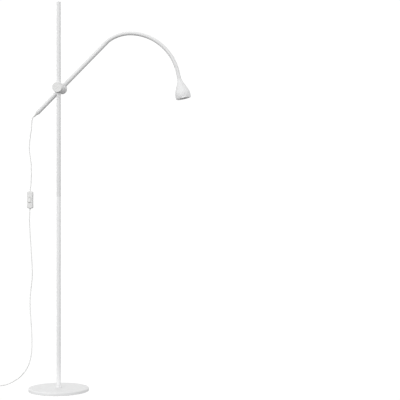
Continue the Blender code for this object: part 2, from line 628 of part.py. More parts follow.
def make_head(head):
    def on_head(name, profile, finish, steps=STEPS_ROUND):
        """A piece turned about the head's axis. The profile's heights are above the mouth."""
        return put(turned(name, profile, MOUTH, -HEAD_DOWN, steps), finish, head)

    top = SHADE_L
    collar_low, collar_high = top + GAP, top + COLLAR_L
    collar = cylinder_profile(COLLAR_R, collar_low, collar_high, 0.0006)
    on_head("head_collar", collar, "white_enamel")

    outer = [(SHADE_TOP_R, top), (SHADE_TOP_R + 0.0009, top - 0.0006)]
    cone_low, shoulder = SHADE_WIDE_AT + 0.0055, 0.0012
    outer += [(SHADE_WIDE_R - shoulder, cone_low), (SHADE_WIDE_R - shoulder * 0.25, SHADE_WIDE_AT + 0.0020),
              (SHADE_WIDE_R, SHADE_WIDE_AT - 0.0010), (SHADE_WIDE_R - 0.0006, SHADE_WIDE_AT * 0.5),
              (SHADE_MOUTH_R, 0)]
    inner = [(SHADE_MOUTH_R - SHADE_WALL, 0), (SHADE_WIDE_R - 0.0006 - SHADE_WALL, SHADE_WIDE_AT * 0.5),
             (SHADE_WIDE_R - SHADE_WALL, SHADE_WIDE_AT), (SHADE_WIDE_R - shoulder - SHADE_WALL, cone_low),
             (SHADE_TOP_R - SHADE_WALL * 0.6, top - 0.0035), (0, top - 0.0035)]
    on_head("head_shade", [(0, top), *outer, *inner], "white_enamel", STEPS_WIDE)

    ring_outer = SHADE_MOUTH_R - SHADE_WALL - GAP
    ring_low = LENS_SET_BACK - 0.0015
    ring = ring_profile(ring_outer - LENS_RING_W, ring_outer, ring_low, ring_low + LENS_RING_H)
    on_head("lens_ring", ring, "grey_plastic", STEPS_WIDE)
    lens_r = ring_outer - LENS_RING_W - GAP
    lens = cylinder_profile(lens_r, LENS_SET_BACK, LENS_SET_BACK + LENS_T, 0.0004)
    on_head("lens", lens, "frosted_lens")
    board = cylinder_profile(BOARD_R, BOARD_ABOVE, BOARD_ABOVE + BOARD_T)
    on_head("led_board", board, "aluminium")
    leds = cylinder_profile(LED_R, BOARD_ABOVE - GAP - LED_T, BOARD_ABOVE - GAP)
    on_head("led_module", leds, "led_yellow")
    sink_low = BOARD_ABOVE + BOARD_T + GAP
    fin_pitch = SINK_L / SINK_FINS
    core_r = SINK_TOP_R * 0.6
    sink = [(0, sink_low + SINK_L)]
    for fin in range(SINK_FINS, 0, -1):
        fin_r = SINK_R + (SINK_TOP_R - SINK_R) * (fin - 1) / (SINK_FINS - 1)
        high = sink_low + fin * fin_pitch
        sink += [(core_r, high), (core_r, high - fin_pitch * 0.45), (fin_r, high - fin_pitch * 0.45)]
        sink += [(fin_r, high - fin_pitch)]
    on_head("heat_sink", [sink[0], *sink[1:], (0, sink_low)], "aluminium")


# ---------------------------------------------------------------- switch
rocker_body = body("rocker", SWITCH_MIDDLE - 0.0050 * Y_AXIS)


def switch_outline():
    """Half-width and half-height corners joined by arcs, with the sides drawn in a little at the middle."""
    half_w, half_h, corner = SWITCH_W / 2, SWITCH_H / 2, SWITCH_CORNER_R
    outline = []
    for turn, (sx, sz) in enumerate(((1, -1), (1, 1), (-1, 1), (-1, -1))):
        centre = (sx * (half_w - corner), sz * (half_h - corner))
        first = math.radians(90 * turn - 90)
        outline += [(centre[0] + corner * math.cos(first + math.radians(22.5 * i)),
                     centre[1] + corner * math.sin(first + math.radians(22.5 * i))) for i in range(5)]
        if turn in (0, 2):
            outline.append((sx * (half_w - SWITCH_WAIST), 0))
    return outline


def make_switch():
    half_depth = SWITCH_D / 2
    upright = Matrix.Rotation(math.radians(90), 4, "X")  # the outline's Y becomes +Z, its thickness runs along Y
    thickness = half_depth - GAP / 2
    middles = {"switch_front": -(half_depth + GAP / 2) / 2, "switch_back": (half_depth + GAP / 2) / 2}
    shells = {}
    for name, offset in middles.items():
        shells[name] = plate(name, switch_outline(), thickness, SWITCH_MIDDLE + offset * Y_AXIS, upright)
        put(shells[name], "white_plastic", carriage)
    front, back = shells["switch_front"], shells["switch_back"]

    window = (ROCKER_W + 2 * ROCKER_PLAY, SWITCH_D, ROCKER_L + 4 * ROCKER_PLAY)
    cut(front, block("rocker_window", window, SWITCH_MIDDLE - half_depth * Y_AXIS, into=cutters))
    room = (ROCKER_W + 0.003, half_depth - 0.002, ROCKER_L + 0.010)
    middle = SWITCH_MIDDLE + (room[1] / 2 - 0.001) * Y_AXIS
    cut(back, block("contact_room", room, middle, into=cutters))
    contact = block("switch_contacts", (ROCKER_W, 0.0035, ROCKER_L + 0.004), SWITCH_MIDDLE + 0.0045 * Y_AXIS)
    put(contact, "brass", carriage)

    proud, deep, half = 0.0056, -0.0025, ROCKER_L / 2
    profile = [(half - 0.0004, proud), (half, proud - 0.0026), (half - 0.002, deep), (2 * GAP - half + 0.0015, deep),
               (-half, proud - 0.0026), (0.0004 - half, proud), (0, proud - 0.0011)]
    sideways = Matrix(((0, 0, 1, 0), (0, -1, 0, 0), (1, 0, 0, 0), (0, 0, 0, 1)))
    pivot = rocker_body.location
    rocker = plate("switch_rocker", profile, ROCKER_W, pivot, Matrix.Rotation(-ROCKER_TILT, 4, "X") @ sideways)
    put(rocker, "white_plastic", rocker_body)

    for side, letter in ((1, "a"), (-1, "b")):
        centre = SWITCH_MIDDLE + side * SWITCH_SCREW_Z * Z_AXIS
        head_y, hole_end = half_depth - 0.0018, -0.0050
        drill(front, "screw_pilot_" + letter, SWITCH_SCREW_R + GAP, centre + (hole_end - 0.001) * Y_AXIS,
              centre + 0.001 * Y_AXIS, STEPS_SMALL)
        drill(back, "screw_hole_" + letter, SWITCH_SCREW_R + GAP, centre - 0.001 * Y_AXIS,
              centre + (half_depth + 0.001) * Y_AXIS, STEPS_SMALL)
        drill(back, "screw_sink_" + letter, 2 * SWITCH_SCREW_R + GAP, centre + (head_y - GAP) * Y_AXIS,
              centre + (half_depth + 0.001) * Y_AXIS, STEPS_SMALL)
        profile = [(0, head_y + 0.0014), (2 * SWITCH_SCREW_R, head_y + 0.0014), (2 * SWITCH_SCREW_R, head_y),
                   (SWITCH_SCREW_R, head_y), (SWITCH_SCREW_R, hole_end), (0, hole_end)]
        put(turned("switch_screw_" + letter, profile, centre, Y_AXIS, STEPS_SMALL), "steel", carriage)


# ---------------------------------------------------------------- cord and plug
def make_cord():
    start, bend = (TILT_AXIS_POINT - (RELIEF_TIP + more) * ARM_DIRECTION for more in (GAP, 0.004))
    upper = [start, *smooth_route([bend, *((x, ARM_Y, z) for x, z in HANG_UPPER)], CORD_SPACING)]
    middle = smooth_route([(x, ARM_Y, z) for x, z in HANG_MIDDLE], CORD_SPACING)
    for name, route, parent in (("cord_top", upper, clamp), ("cord_middle", middle, carriage)):
        put(tube(name, route, CORD_R), "white_cord", parent)
    put(tube("cord_low", smooth_route(HANG_LOWER, CORD_SPACING), CORD_R), "white_cord", stand)

    centre = Vector((COIL_X, COIL_Y, 0))
    edge = CORD_R * 0.8
    section = [(COIL_INNER_R + edge, COIL_TOP), (COIL_OUTER_R - edge, COIL_TOP), (COIL_OUTER_R, COIL_TOP - edge),
               (COIL_OUTER_R, COIL_LIFT + edge), (COIL_OUTER_R - edge, COIL_LIFT), (COIL_INNER_R + edge, COIL_LIFT),
               (COIL_INNER_R, COIL_LIFT + edge), (COIL_INNER_R, COIL_TOP - edge)]
    put(turned("cord_coil", section, centre, steps=STEPS_WIDE), "white_cord", stand)

    width = COIL_OUTER_R - COIL_INNER_R + 2 * (TIE_T + GAP)
    height = COIL_TOP - COIL_LIFT + 2 * (TIE_T + GAP)
    tie_middle = centre + Vector(((COIL_OUTER_R + COIL_INNER_R) / 2, 0, (COIL_TOP + COIL_LIFT) / 2))
    tie = block("cord_tie", (width + 0.0012, TIE_W, height), tie_middle, 0.0006)
    hole = (width + 0.0012 - 2 * TIE_T, TIE_W * 2, height - 2 * TIE_T)
    cut(tie, block("tie_hole", hole, tie_middle, into=cutters))
    put(tie, "grey_plastic", stand)

    relief_tip = Vector((PLUG_X, COIL_Y - PLUG_FROM_COIL, PLUG_T / 2 + GAP))
    leave = Vector((PLUG_X, COIL_Y - (COIL_OUTER_R ** 2 - (COIL_OUTER_R - 2 * CORD_R) ** 2) ** 0.5 - GAP,
                    COIL_TOP - CORD_R))
    put(tube("cord_end", [leave, leave.lerp(relief_tip, 0.5), relief_tip + GAP * Y_AXIS], CORD_R), "white_cord",
        stand)
    relief = [(0, 0), (RELIEF_TIP_R, 0), (PLUG_RELIEF_R, -PLUG_RELIEF_L + 0.003), (PLUG_RELIEF_R, -PLUG_RELIEF_L),
              (0, -PLUG_RELIEF_L)]
    put(turned("plug_relief", relief, relief_tip, Y_AXIS), "white_plastic", stand)
    body_middle = relief_tip - (PLUG_RELIEF_L + GAP + PLUG_L / 2) * Y_AXIS
    put(block("plug_body", (PLUG_W, PLUG_L, PLUG_T), body_middle, 0.004), "white_plastic", stand)
    pin_start = -(PLUG_L / 2 + GAP)
    for side, letter in ((1, "a"), (-1, "b")):
        profile = cylinder_profile(PLUG_PIN_R, pin_start - PLUG_PIN_L, pin_start, 0.0006)
        middle = body_middle + side * PLUG_PIN_SPACING / 2 * X_AXIS
        put(turned("plug_pin_" + letter, profile, middle, Y_AXIS, STEPS_SMALL), "brass", stand)


make_base()
make_pole()
make_clamp()
make_knob()
make_arm()
make_head(make_neck())
make_switch()
make_cord()
for piece in lamp.objects:
    if piece.type == "MESH":
        piece.data.shade_smooth()
        piece.data.set_sharp_from_angle(angle=math.radians(35))
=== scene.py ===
"""The finish of the adjustable arm floor lamp: its visible pieces, their materials, and a pale studio round it."""

import math

import bmesh
import bpy
from mathutils import Matrix, Vector


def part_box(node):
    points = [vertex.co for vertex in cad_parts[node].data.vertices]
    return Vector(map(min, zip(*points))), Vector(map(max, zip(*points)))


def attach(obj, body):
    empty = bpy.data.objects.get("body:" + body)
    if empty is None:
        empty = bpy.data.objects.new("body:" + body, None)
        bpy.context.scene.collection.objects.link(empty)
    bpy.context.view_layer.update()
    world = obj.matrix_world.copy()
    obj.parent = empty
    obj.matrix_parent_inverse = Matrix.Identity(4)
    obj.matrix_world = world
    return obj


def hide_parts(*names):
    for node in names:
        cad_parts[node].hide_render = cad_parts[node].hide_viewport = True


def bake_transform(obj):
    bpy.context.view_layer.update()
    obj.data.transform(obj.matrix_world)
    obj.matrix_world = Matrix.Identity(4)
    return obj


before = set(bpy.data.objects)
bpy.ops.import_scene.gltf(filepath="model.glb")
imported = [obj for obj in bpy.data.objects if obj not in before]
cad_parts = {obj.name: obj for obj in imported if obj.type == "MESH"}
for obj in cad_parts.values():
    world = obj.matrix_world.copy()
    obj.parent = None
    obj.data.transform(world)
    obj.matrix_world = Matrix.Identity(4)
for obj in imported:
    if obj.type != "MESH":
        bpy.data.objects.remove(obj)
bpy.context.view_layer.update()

# ---------------------------------------------------------------- sizes, in metres
UP, BACK = Vector((0, 0, 1)), Vector((0, 1, 0))
POLE_R = 0.0080
BARREL_R = 0.02075
JOINT_Z = 1.160
ARM_Y = 0.0350
ARM_RISE = math.radians(44.3)
ARM_R = 0.0080
ARM_DIRECTION = Vector((math.cos(ARM_RISE), 0, math.sin(ARM_RISE)))
TILT_POINT = Vector((0, ARM_Y, JOINT_Z))
KNOB_POINT = Vector((0, 0, JOINT_Z))

NECK_R = 0.00725
NECK_LINKS = 8
NECK_START = 0.2555
NECK_RISE = math.radians(36.6)
NECK_FIRST_R = 0.1454
NECK_FIRST_TURN = math.radians(40.9)
NECK_SECOND_R = 0.1957
NECK_FALL = math.radians(79.5)
NECK_LENGTH = NECK_FIRST_R * NECK_FIRST_TURN + NECK_SECOND_R * (NECK_RISE - NECK_FIRST_TURN + NECK_FALL)

HEAD_LEAN = math.radians(12.9)
HEAD_DOWN = Vector((math.sin(HEAD_LEAN), 0, -math.cos(HEAD_LEAN)))
COLLAR_L = 0.0155
SHADE_L = 0.0750

CORD_R = 0.00225
RELIEF_TIP = 0.1526
SWITCH_MIDDLE = Vector((-0.1243, ARM_Y, 0.7310))
SWITCH_W, SWITCH_H, SWITCH_D = 0.0220, 0.0660, 0.0190
SWITCH_SCREW_Z = 0.0245
COIL_MIDDLE = Vector((-0.3000, 0.0315, 0))
COIL_LOW, COIL_HIGH = 0.00355, 0.00805
COIL_TURNS = (0.03045, 0.02595, 0.02145)
PLUG_MIDDLE = Vector((-0.33045, -0.0521, 0.0071))
CORD_IN_PLUG, CORD_RUN_IN = 0.0318, 0.0120
CORD_STEP, SLEEVE_STEP = 0.003, 0.0018

# ---------------------------------------------------------------- camera
camera = bpy.data.objects.new("camera", bpy.data.cameras.new("camera"))
bpy.context.scene.collection.objects.link(camera)
camera.location = (1.17707, -4.10494, 0.7305)
camera.rotation_euler = (math.radians(90), 0, math.radians(8.726))
camera.data.lens = 99.63
camera.data.clip_end = 60
bpy.context.scene.camera = camera


# ---------------------------------------------------------------- shader groups that finishes share
def fill(tree, socket, value):
    """Links a socket to another one, or sets it to a plain value."""
    if isinstance(value, bpy.types.NodeSocket):
        tree.links.new(value, socket)
    else:
        socket.default_value = value


def add_node(tree, kind, inputs=None, **settings):
    """A new node with its settings, and its inputs filled by name."""
    made = tree.nodes.new(kind)
    for name, value in settings.items():
        setattr(made, name, value)
    for label, value in (inputs or {}).items():
        fill(tree, made.inputs[label], value)
    return made


def put_out(tree, result, **sockets):
    """Links sockets to the outputs of a group."""
    for label, socket in sockets.items():
        tree.links.new(socket, result.inputs[label])


def shader_group(name, inputs, outputs):
    """A new shader node group with named inputs and outputs, and its two end nodes."""
    tree = bpy.data.node_groups.new(name, "ShaderNodeTree")
    for label, kind, value in inputs:
        socket = tree.interface.new_socket(label, in_out="INPUT", socket_type="NodeSocket" + kind)
        if value is not None:
            socket.default_value = value
    for label, kind in outputs:
        tree.interface.new_socket(label, in_out="OUTPUT", socket_type="NodeSocket" + kind)
    return tree, tree.nodes.new("NodeGroupInput"), tree.nodes.new("NodeGroupOutput")


def noise(tree, place, scale, detail, roughness=0.5):
    """A noise pattern, from 0 to 1."""
    return add_node(tree, "ShaderNodeTexNoise", {"Vector": place, "Scale": scale, "Detail": detail,
                                                 "Roughness": roughness}).outputs["Fac"]


def math_node(tree, operation, first, second):
    """One sum on two numbers or sockets."""
    return add_node(tree, "ShaderNodeMath", {0: first, 1: second}, operation=operation).outputs["Value"]


def spread(tree, value, low, high, new_low, new_high):
    """Maps a value from one range to another, and holds it inside the new one."""
    return add_node(tree, "ShaderNodeMapRange", {"Value": value, "From Min": low, "From Max": high,
                                                 "To Min": new_low, "To Max": new_high}).outputs["Result"]


def make_surface_texture():
    """The small bumps of a sprayed, moulded or drawn surface, and the slow change of gloss over it."""
    tree, given, result = shader_group(
        "surface_texture",
        [("Place", "Vector", None), ("Bump Scale", "Float", 900.0), ("Patch Scale", "Float", 14.0),
         ("Gloss Low", "Float", 0.34), ("Gloss High", "Float", 0.44)],
        [("Height", "Float"), ("Roughness", "Float"), ("Patch", "Float")])
    place = given.outputs["Place"]
    bumps = noise(tree, place, given.outputs["Bump Scale"], 2.0, 0.45)
    patch = noise(tree, place, given.outputs["Patch Scale"], 3.0, 0.6)
    fine = math_node(tree, "MULTIPLY", bumps, 0.3)
    mixed = math_node(tree, "ADD", math_node(tree, "MULTIPLY", patch, 0.7), fine)
    gloss = spread(tree, mixed, 0.35, 0.65, given.outputs["Gloss Low"], given.outputs["Gloss High"])
    put_out(tree, result, Height=bumps, Roughness=gloss, Patch=patch)
    return tree


def make_settled_dust():
    """A mask for the thin dust on faces that look up, broken up by a cloudy pattern."""
    tree, given, result = shader_group(
        "settled_dust", [("Place", "Vector", None), ("Amount", "Float", 0.3)], [("Mask", "Float")])
    geometry = tree.nodes.new("ShaderNodeNewGeometry")
    parts = add_node(tree, "ShaderNodeSeparateXYZ", {"Vector": geometry.outputs["Normal"]})
    upward = spread(tree, parts.outputs["Z"], 0.6, 1.0, 0.0, 1.0)
    clouds = noise(tree, given.outputs["Place"], 30.0, 6.0, 0.7)
    broken = spread(tree, clouds, 0.4, 0.7, 0.0, 1.0)
    mask = math_node(tree, "MULTIPLY", math_node(tree, "MULTIPLY", upward, broken), given.outputs["Amount"])
    put_out(tree, result, Mask=mask)
    return tree


def make_tool_lines():
    """Fine lines round a turned or drawn metal piece, along one axis of it."""
    tree, given, result = shader_group(
        "tool_lines", [("Place", "Vector", None), ("Along", "Vector", (20.0, 20.0, 2500.0)),
                       ("Gloss Low", "Float", 0.22), ("Gloss High", "Float", 0.40)],
        [("Height", "Float"), ("Roughness", "Float")])
    stretch = add_node(tree, "ShaderNodeVectorMath", {0: given.outputs["Place"], 1: given.outputs["Along"]},
                       operation="MULTIPLY")
    lines = noise(tree, stretch.outputs["Vector"], 1.0, 4.0, 0.6)
    gloss = spread(tree, lines, 0.3, 0.7, given.outputs["Gloss Low"], given.outputs["Gloss High"])
    put_out(tree, result, Height=lines, Roughness=gloss)
    return tree


SURFACE_TEXTURE = make_surface_texture()
SETTLED_DUST = make_settled_dust()
TOOL_LINES = make_tool_lines()
DUST_COLOUR = (0.62, 0.60, 0.57, 1)


# ---------------------------------------------------------------- finishes
def new_finish(name, **fixed):
    """A material with its shader's fixed values set, with its node tree and its shader."""
    made = bpy.data.materials.new(name)
    made.use_nodes = True
    tree = made.node_tree
    shader = tree.nodes["Principled BSDF"]
    for label, value in fixed.items():
        shader.inputs[label.replace("_", " ")].default_value = value
    return made, tree, shader


def placed_group(tree, group, place, **values):
    """Puts a shared group in a tree, with its own values."""
    named = {label.replace("_", " "): value for label, value in values.items()}
    return add_node(tree, "ShaderNodeGroup", {"Place": place, **named}, node_tree=group)


def object_place(tree):
    """The place of a point on the piece itself."""
    return tree.nodes.new("ShaderNodeTexCoord").outputs["Object"]


def followed_place(tree):
    """The place round and along a cord or a sleeve, which follows it as it bends."""
    return add_node(tree, "ShaderNodeAttribute", attribute_name="round_and_along").outputs["Vector"]


def add_bump(tree, shader, height, distance):
    """Turns a height pattern into small bumps on a finish."""
    bump = add_node(tree, "ShaderNodeBump", {"Distance": distance, "Height": height})
    tree.links.new(bump.outputs["Normal"], shader.inputs["Normal"])


def mix_colours(tree, factor, first, second):
    """Two colours or colour sockets, mixed by a factor."""
    made = add_node(tree, "ShaderNodeMix", {"Factor": factor}, data_type="RGBA")
    for label, value in (("A", first), ("B", second)):
        fill(tree, next(s for s in made.inputs if s.name == label and s.type == "RGBA"), value)
    return next(s for s in made.outputs if s.type == "RGBA")


def coated_finish(name, tones, gloss, bump_scale, bump_height, patch_scale=14.0, dust=0.0, place=object_place,
                  **fixed):
    """A painted, moulded or sheathed surface: two close tones in slow patches, small bumps and a little dust."""
    made, tree, shader = new_finish(name, **fixed)
    where = place(tree)
    texture = placed_group(tree, SURFACE_TEXTURE, where, Bump_Scale=bump_scale, Patch_Scale=patch_scale,
                           Gloss_Low=gloss[0], Gloss_High=gloss[1])
    first, second = ((*tone, 1) for tone in tones)
    colour = mix_colours(tree, spread(tree, texture.outputs["Patch"], 0.35, 0.65, 0.0, 1.0), first, second)
    if dust:
        settled = placed_group(tree, SETTLED_DUST, where, Amount=dust)
        colour = mix_colours(tree, settled.outputs["Mask"], colour, DUST_COLOUR)
    tree.links.new(colour, shader.inputs["Base Color"])
    tree.links.new(texture.outputs["Roughness"], shader.inputs["Roughness"])
    add_bump(tree, shader, texture.outputs["Height"], bump_height)
    return made


def metal_finish(name, tone, gloss, along=(20.0, 20.0, 2500.0), height=0.000003):
    """A metal with fine tool lines and slow patches of a darker tone."""
    made, tree, shader = new_finish(name, Metallic=1.0)
    where = object_place(tree)
    lines = placed_group(tree, TOOL_LINES, where, Along=along, Gloss_Low=gloss[0], Gloss_High=gloss[1])
    texture = placed_group(tree, SURFACE_TEXTURE, where, Bump_Scale=200.0, Patch_Scale=60.0)
    darker = tuple(0.86 * c for c in tone)
    patch = spread(tree, texture.outputs["Patch"], 0.35, 0.65, 0.0, 1.0)
    tree.links.new(mix_colours(tree, patch, (*darker, 1), (*tone, 1)), shader.inputs["Base Color"])
    tree.links.new(lines.outputs["Roughness"], shader.inputs["Roughness"])
    add_bump(tree, shader, lines.outputs["Height"], height)
    return made


ENAMEL = coated_finish("white_powder_coat", ((0.800, 0.802, 0.806), (0.815, 0.817, 0.820)), (0.33, 0.43), 1100.0,
                       0.000006, dust=0.10)
PLASTIC = coated_finish("white_moulded_plastic", ((0.790, 0.790, 0.785), (0.805, 0.805, 0.800)), (0.40, 0.52),
                        2600.0, 0.000004, patch_scale=30.0, dust=0.08)
ROCKER_PLASTIC = coated_finish("white_rocker_plastic", ((0.80, 0.80, 0.79), (0.82, 0.82, 0.81)), (0.24, 0.32),
                               1500.0, 0.000002, patch_scale=60.0)
SLEEVE = coated_finish("white_neck_sleeve", ((0.800, 0.802, 0.804), (0.815, 0.816, 0.818)), (0.42, 0.52), 1500.0,
                       0.000005, place=followed_place)
FLEX = coated_finish("white_flex_sheath", ((0.84, 0.84, 0.835), (0.86, 0.86, 0.855)), (0.32, 0.42), 700.0,
                     0.00001, patch_scale=25.0, place=followed_place)
RELIEF_PLASTIC = coated_finish("white_soft_plastic", ((0.78, 0.78, 0.77), (0.80, 0.80, 0.79)), (0.40, 0.50),
                               1800.0, 0.000005, patch_scale=40.0)
GREY_PLASTIC = coated_finish("grey_moulded_plastic", ((0.40, 0.40, 0.405), (0.43, 0.43, 0.435)), (0.30, 0.40),
                             2200.0, 0.000005, patch_scale=40.0)
TRIM_PLASTIC = coated_finish("silver_trim", ((0.88, 0.88, 0.885), (0.90, 0.90, 0.905)), (0.14, 0.20), 1800.0,
                             0.000004, patch_scale=40.0, Metallic=0.5)
MARK = coated_finish("grey_printed_mark", ((0.20, 0.20, 0.20), (0.24, 0.24, 0.24)), (0.45, 0.55), 2000.0, 0.000002)
RUBBER = coated_finish("dark_floor_pad", ((0.055, 0.055, 0.055), (0.085, 0.085, 0.083)), (0.75, 0.9), 600.0,
                       0.00008, patch_scale=50.0)
IRON = coated_finish("grey_cast_iron", ((0.10, 0.10, 0.105), (0.15, 0.15, 0.155)), (0.55, 0.75), 450.0, 0.0001,
                     patch_scale=40.0, Metallic=0.5)
LED_PHOSPHOR = coated_finish("yellow_phosphor", ((0.80, 0.66, 0.16), (0.84, 0.72, 0.22)), (0.35, 0.45), 1500.0,
                             0.000005)
LENS_PLASTIC = coated_finish("frosted_lens", ((0.86, 0.86, 0.86), (0.90, 0.90, 0.90)), (0.10, 0.16), 1800.0,
                             0.000004, Coat_Weight=0.6, Coat_Roughness=0.08)
STEEL = metal_finish("zinc_plated_steel", (0.62, 0.62, 0.64), (0.22, 0.38))
NICKEL = metal_finish("nickel_plated_pin", (0.66, 0.63, 0.57), (0.16, 0.28), (20.0, 2500.0, 20.0))
BRASS = metal_finish("turned_brass", (0.75, 0.56, 0.26), (0.22, 0.36))
ALUMINIUM = metal_finish("plain_aluminium", (0.76, 0.77, 0.79), (0.28, 0.42))


def make_strap_cloth():
    """Woven hook-and-loop strap: fine crossed threads and a matt, slightly fuzzy face."""
    made, tree, shader = new_finish("grey_woven_strap", Sheen_Weight=0.4, Sheen_Roughness=0.6)
    where = object_place(tree)
    parts = add_node(tree, "ShaderNodeSeparateXYZ", {"Vector": where})
    waves = [math_node(tree, "SINE", math_node(tree, "MULTIPLY", parts.outputs[axis], 9000.0), 0.0)
             for axis in ("Y", "X")]
    threads = math_node(tree, "MULTIPLY", waves[0], waves[1])
    worn = placed_group(tree, SURFACE_TEXTURE, where, Bump_Scale=2500.0, Patch_Scale=120.0, Gloss_Low=0.85,
                        Gloss_High=0.95)
    light, dark = (0.32, 0.32, 0.325, 1), (0.22, 0.22, 0.225, 1)
    colour = mix_colours(tree, spread(tree, threads, -1.0, 1.0, 0.0, 1.0), dark, light)
    tree.links.new(colour, shader.inputs["Base Color"])
    tree.links.new(worn.outputs["Roughness"], shader.inputs["Roughness"])
    height = math_node(tree, "ADD", threads, math_node(tree, "MULTIPLY", worn.outputs["Height"], 1.5))
    add_bump(tree, shader, height, 0.00005)
    return made


STRAP = make_strap_cloth()


# ---------------------------------------------------------------- ways of shaping a piece
def facing(origin, direction):
    """The transform that stands a piece on origin with its Z axis along direction."""
    return Matrix.Translation(origin) @ Vector(direction).to_track_quat("Z", "Y").to_matrix().to_4x4()


def linked_piece(name, mesh, finish):
    """A new object in the scene with one finish."""
    piece = bpy.data.objects.new(name, mesh)
    bpy.context.scene.collection.objects.link(piece)
    mesh.materials.clear()
    mesh.materials.append(finish)
    return piece


def piece_from(name, points, faces, finish, crease=35):
    """A closed mesh with its faces turned outwards, smooth but for the edges sharper than crease."""
    mesh = bpy.data.meshes.new(name)
    mesh.from_pydata([tuple(p) for p in points], [], faces)
    shape = bmesh.new()
    shape.from_mesh(mesh)
    bmesh.ops.recalc_face_normals(shape, faces=shape.faces)
    shape.to_mesh(mesh)
    shape.free()
    mesh.shade_smooth()
    mesh.set_sharp_from_angle(angle=math.radians(crease))
    return linked_piece(name, mesh, finish)


def rounded(corners, arc=5):
    """An outline through corners (x, y) or (x, y, rounding), with each rounded corner drawn as an arc."""
    outline = []
    for index, corner in enumerate(corners):
        here = Vector(corner[:2])
        if len(corner) < 3:
            outline.append(tuple(here))
            continue
        back = Vector(corners[index - 1][:2]) - here
        ahead = Vector(corners[(index + 1) % len(corners)][:2]) - here
        reach = corner[2] / math.tan(back.angle(ahead) / 2)
        start = here + back.normalized() * min(reach, back.length * 0.49)
        end = here + ahead.normalized() * min(reach, ahead.length * 0.49)
        for step in range(arc + 1):
            t = step / arc
            outline.append(tuple((1 - t) ** 2 * start + 2 * t * (1 - t) * here + t * t * end))
    return outline


def turned(name, profile, origin, direction, finish, steps=96):
    """A turned piece. The profile is (radius, height), closed unless both its ends are on the axis."""
    place = facing(origin, direction)
    points, rings, faces = [], [], []
    for radius, height in profile:
        count = 1 if radius < 1e-7 else steps
        rings.append(range(len(points), len(points) + count))
        for step in range(count):
            angle = math.tau * step / steps
            points.append(place @ Vector((radius * math.cos(angle), radius * math.sin(angle), height)))
    pairs = list(zip(rings, rings[1:]))
    if len(rings[0]) > 1 and len(rings[-1]) > 1:
        pairs.append((rings[-1], rings[0]))
    for one, two in pairs:
        for step in range(steps):
            after = (step + 1) % steps
            if len(one) == 1:
                faces.append((one[0], two[step], two[after]))
            elif len(two) == 1:
                faces.append((one[step], two[0], one[after]))
            else:
                faces.append((one[step], two[step], two[after], one[after]))
    return piece_from(name, points, faces, finish)


def lofted(name, rings, finish, crease=35, closed=False):
    """A piece skinned over rings that each hold the same number of points. Its ends are filled, or it closes on
    itself."""
    count = len(rings[0])
    points = [point for ring in rings for point in ring]
    faces = []
    for index in range(len(rings) if closed else len(rings) - 1):
        one, two = index * count, (index + 1) % len(rings) * count
        faces += [(one + i, one + (i + 1) % count, two + (i + 1) % count, two + i) for i in range(count)]
    if not closed:
        faces += [tuple(range(count)), tuple(range((len(rings) - 1) * count, len(rings) * count))]
    return piece_from(name, points, faces, finish, crease)


def smooth_route(points, spacing):
    """Evenly spaced points on one smooth curve through the given ones."""
    knots = [Vector(p) for p in points]
    knots = [2 * knots[0] - knots[1], *knots, 2 * knots[-1] - knots[-2]]
    fine = []
    for a, b, c, d in zip(knots, knots[1:], knots[2:], knots[3:]):
        for step in range(16):
            t = step / 16
            fine.append(0.5 * (2 * b + (c - a) * t + (2 * a - 5 * b + 4 * c - d) * t * t
                               + (3 * b - a - 3 * c + d) * t ** 3))
    fine.append(knots[-2])
    lengths = [0.0]
    for a, b in zip(fine, fine[1:]):
        lengths.append(lengths[-1] + (b - a).length)
    count = max(2, round(lengths[-1] / spacing))
    route, at = [], 0
    for index in range(count + 1):
        want = lengths[-1] * index / count
        while at < len(fine) - 2 and lengths[at + 1] < want:
            at += 1
        share = (want - lengths[at]) / (lengths[at + 1] - lengths[at])
        route.append(fine[at].lerp(fine[at + 1], share))
    return route


def swept(name, route, radius, finish, sides=16, start_along=0.0):
    """A round tube along a route, which keeps where each point is round and along it."""
    turn = None
    points, marks, along = [], [], start_along
    for index, here in enumerate(route):
        if index:
            along += (here - route[index - 1]).length
        heading = (route[min(index + 1, len(route) - 1)] - route[max(index - 1, 0)]).normalized()
        if turn is None:
            turn = heading.to_track_quat("Z", "Y")
        else:
            turn = (turn @ UP).rotation_difference(heading) @ turn
        for side in range(sides):
            angle = math.tau * side / sides
            offset = Vector((radius * math.cos(angle), radius * math.sin(angle), 0))
            points.append(here + turn @ offset)
            marks += (offset.x, offset.y, along)
    faces = []
    for ring in range(len(route) - 1):
        one, two = ring * sides, (ring + 1) * sides
        faces += [(one + i, one + (i + 1) % sides, two + (i + 1) % sides, two + i) for i in range(sides)]
    faces += [tuple(range(sides)), tuple(range(len(points) - sides, len(points)))]
    piece = piece_from(name, points, faces, finish, 60)
    mark = piece.data.attributes.new("round_and_along", "FLOAT_VECTOR", "POINT")
    mark.data.foreach_set("vector", marks)
    return piece


def cut_away(piece, *cutters):
    """The piece less the cutters, which are then removed."""
    for cutter in cutters:
        difference = piece.modifiers.new("cut", "BOOLEAN")
        difference.solver = "EXACT"
        difference.object = cutter
    bpy.context.view_layer.update()
    evaluated = piece.evaluated_get(bpy.context.evaluated_depsgraph_get())
    mesh = bpy.data.meshes.new_from_object(evaluated)
    piece.modifiers.clear()
    finish = piece.data.materials[0]
    piece.data = mesh
    mesh.materials.clear()
    mesh.materials.append(finish)
    mesh.shade_smooth()
    mesh.set_sharp_from_angle(angle=math.radians(35))
    for cutter in cutters:
        bpy.data.objects.remove(cutter)
    return piece


def drill_bit(radius, start, end, steps=64):
    """A round cutter from start to end."""
    start, end = Vector(start), Vector(end)
    profile = [(0, (end - start).length), (radius, (end - start).length), (radius, 0), (0, 0)]
    return turned("drill_bit", profile, start, end - start, PLASTIC, steps)


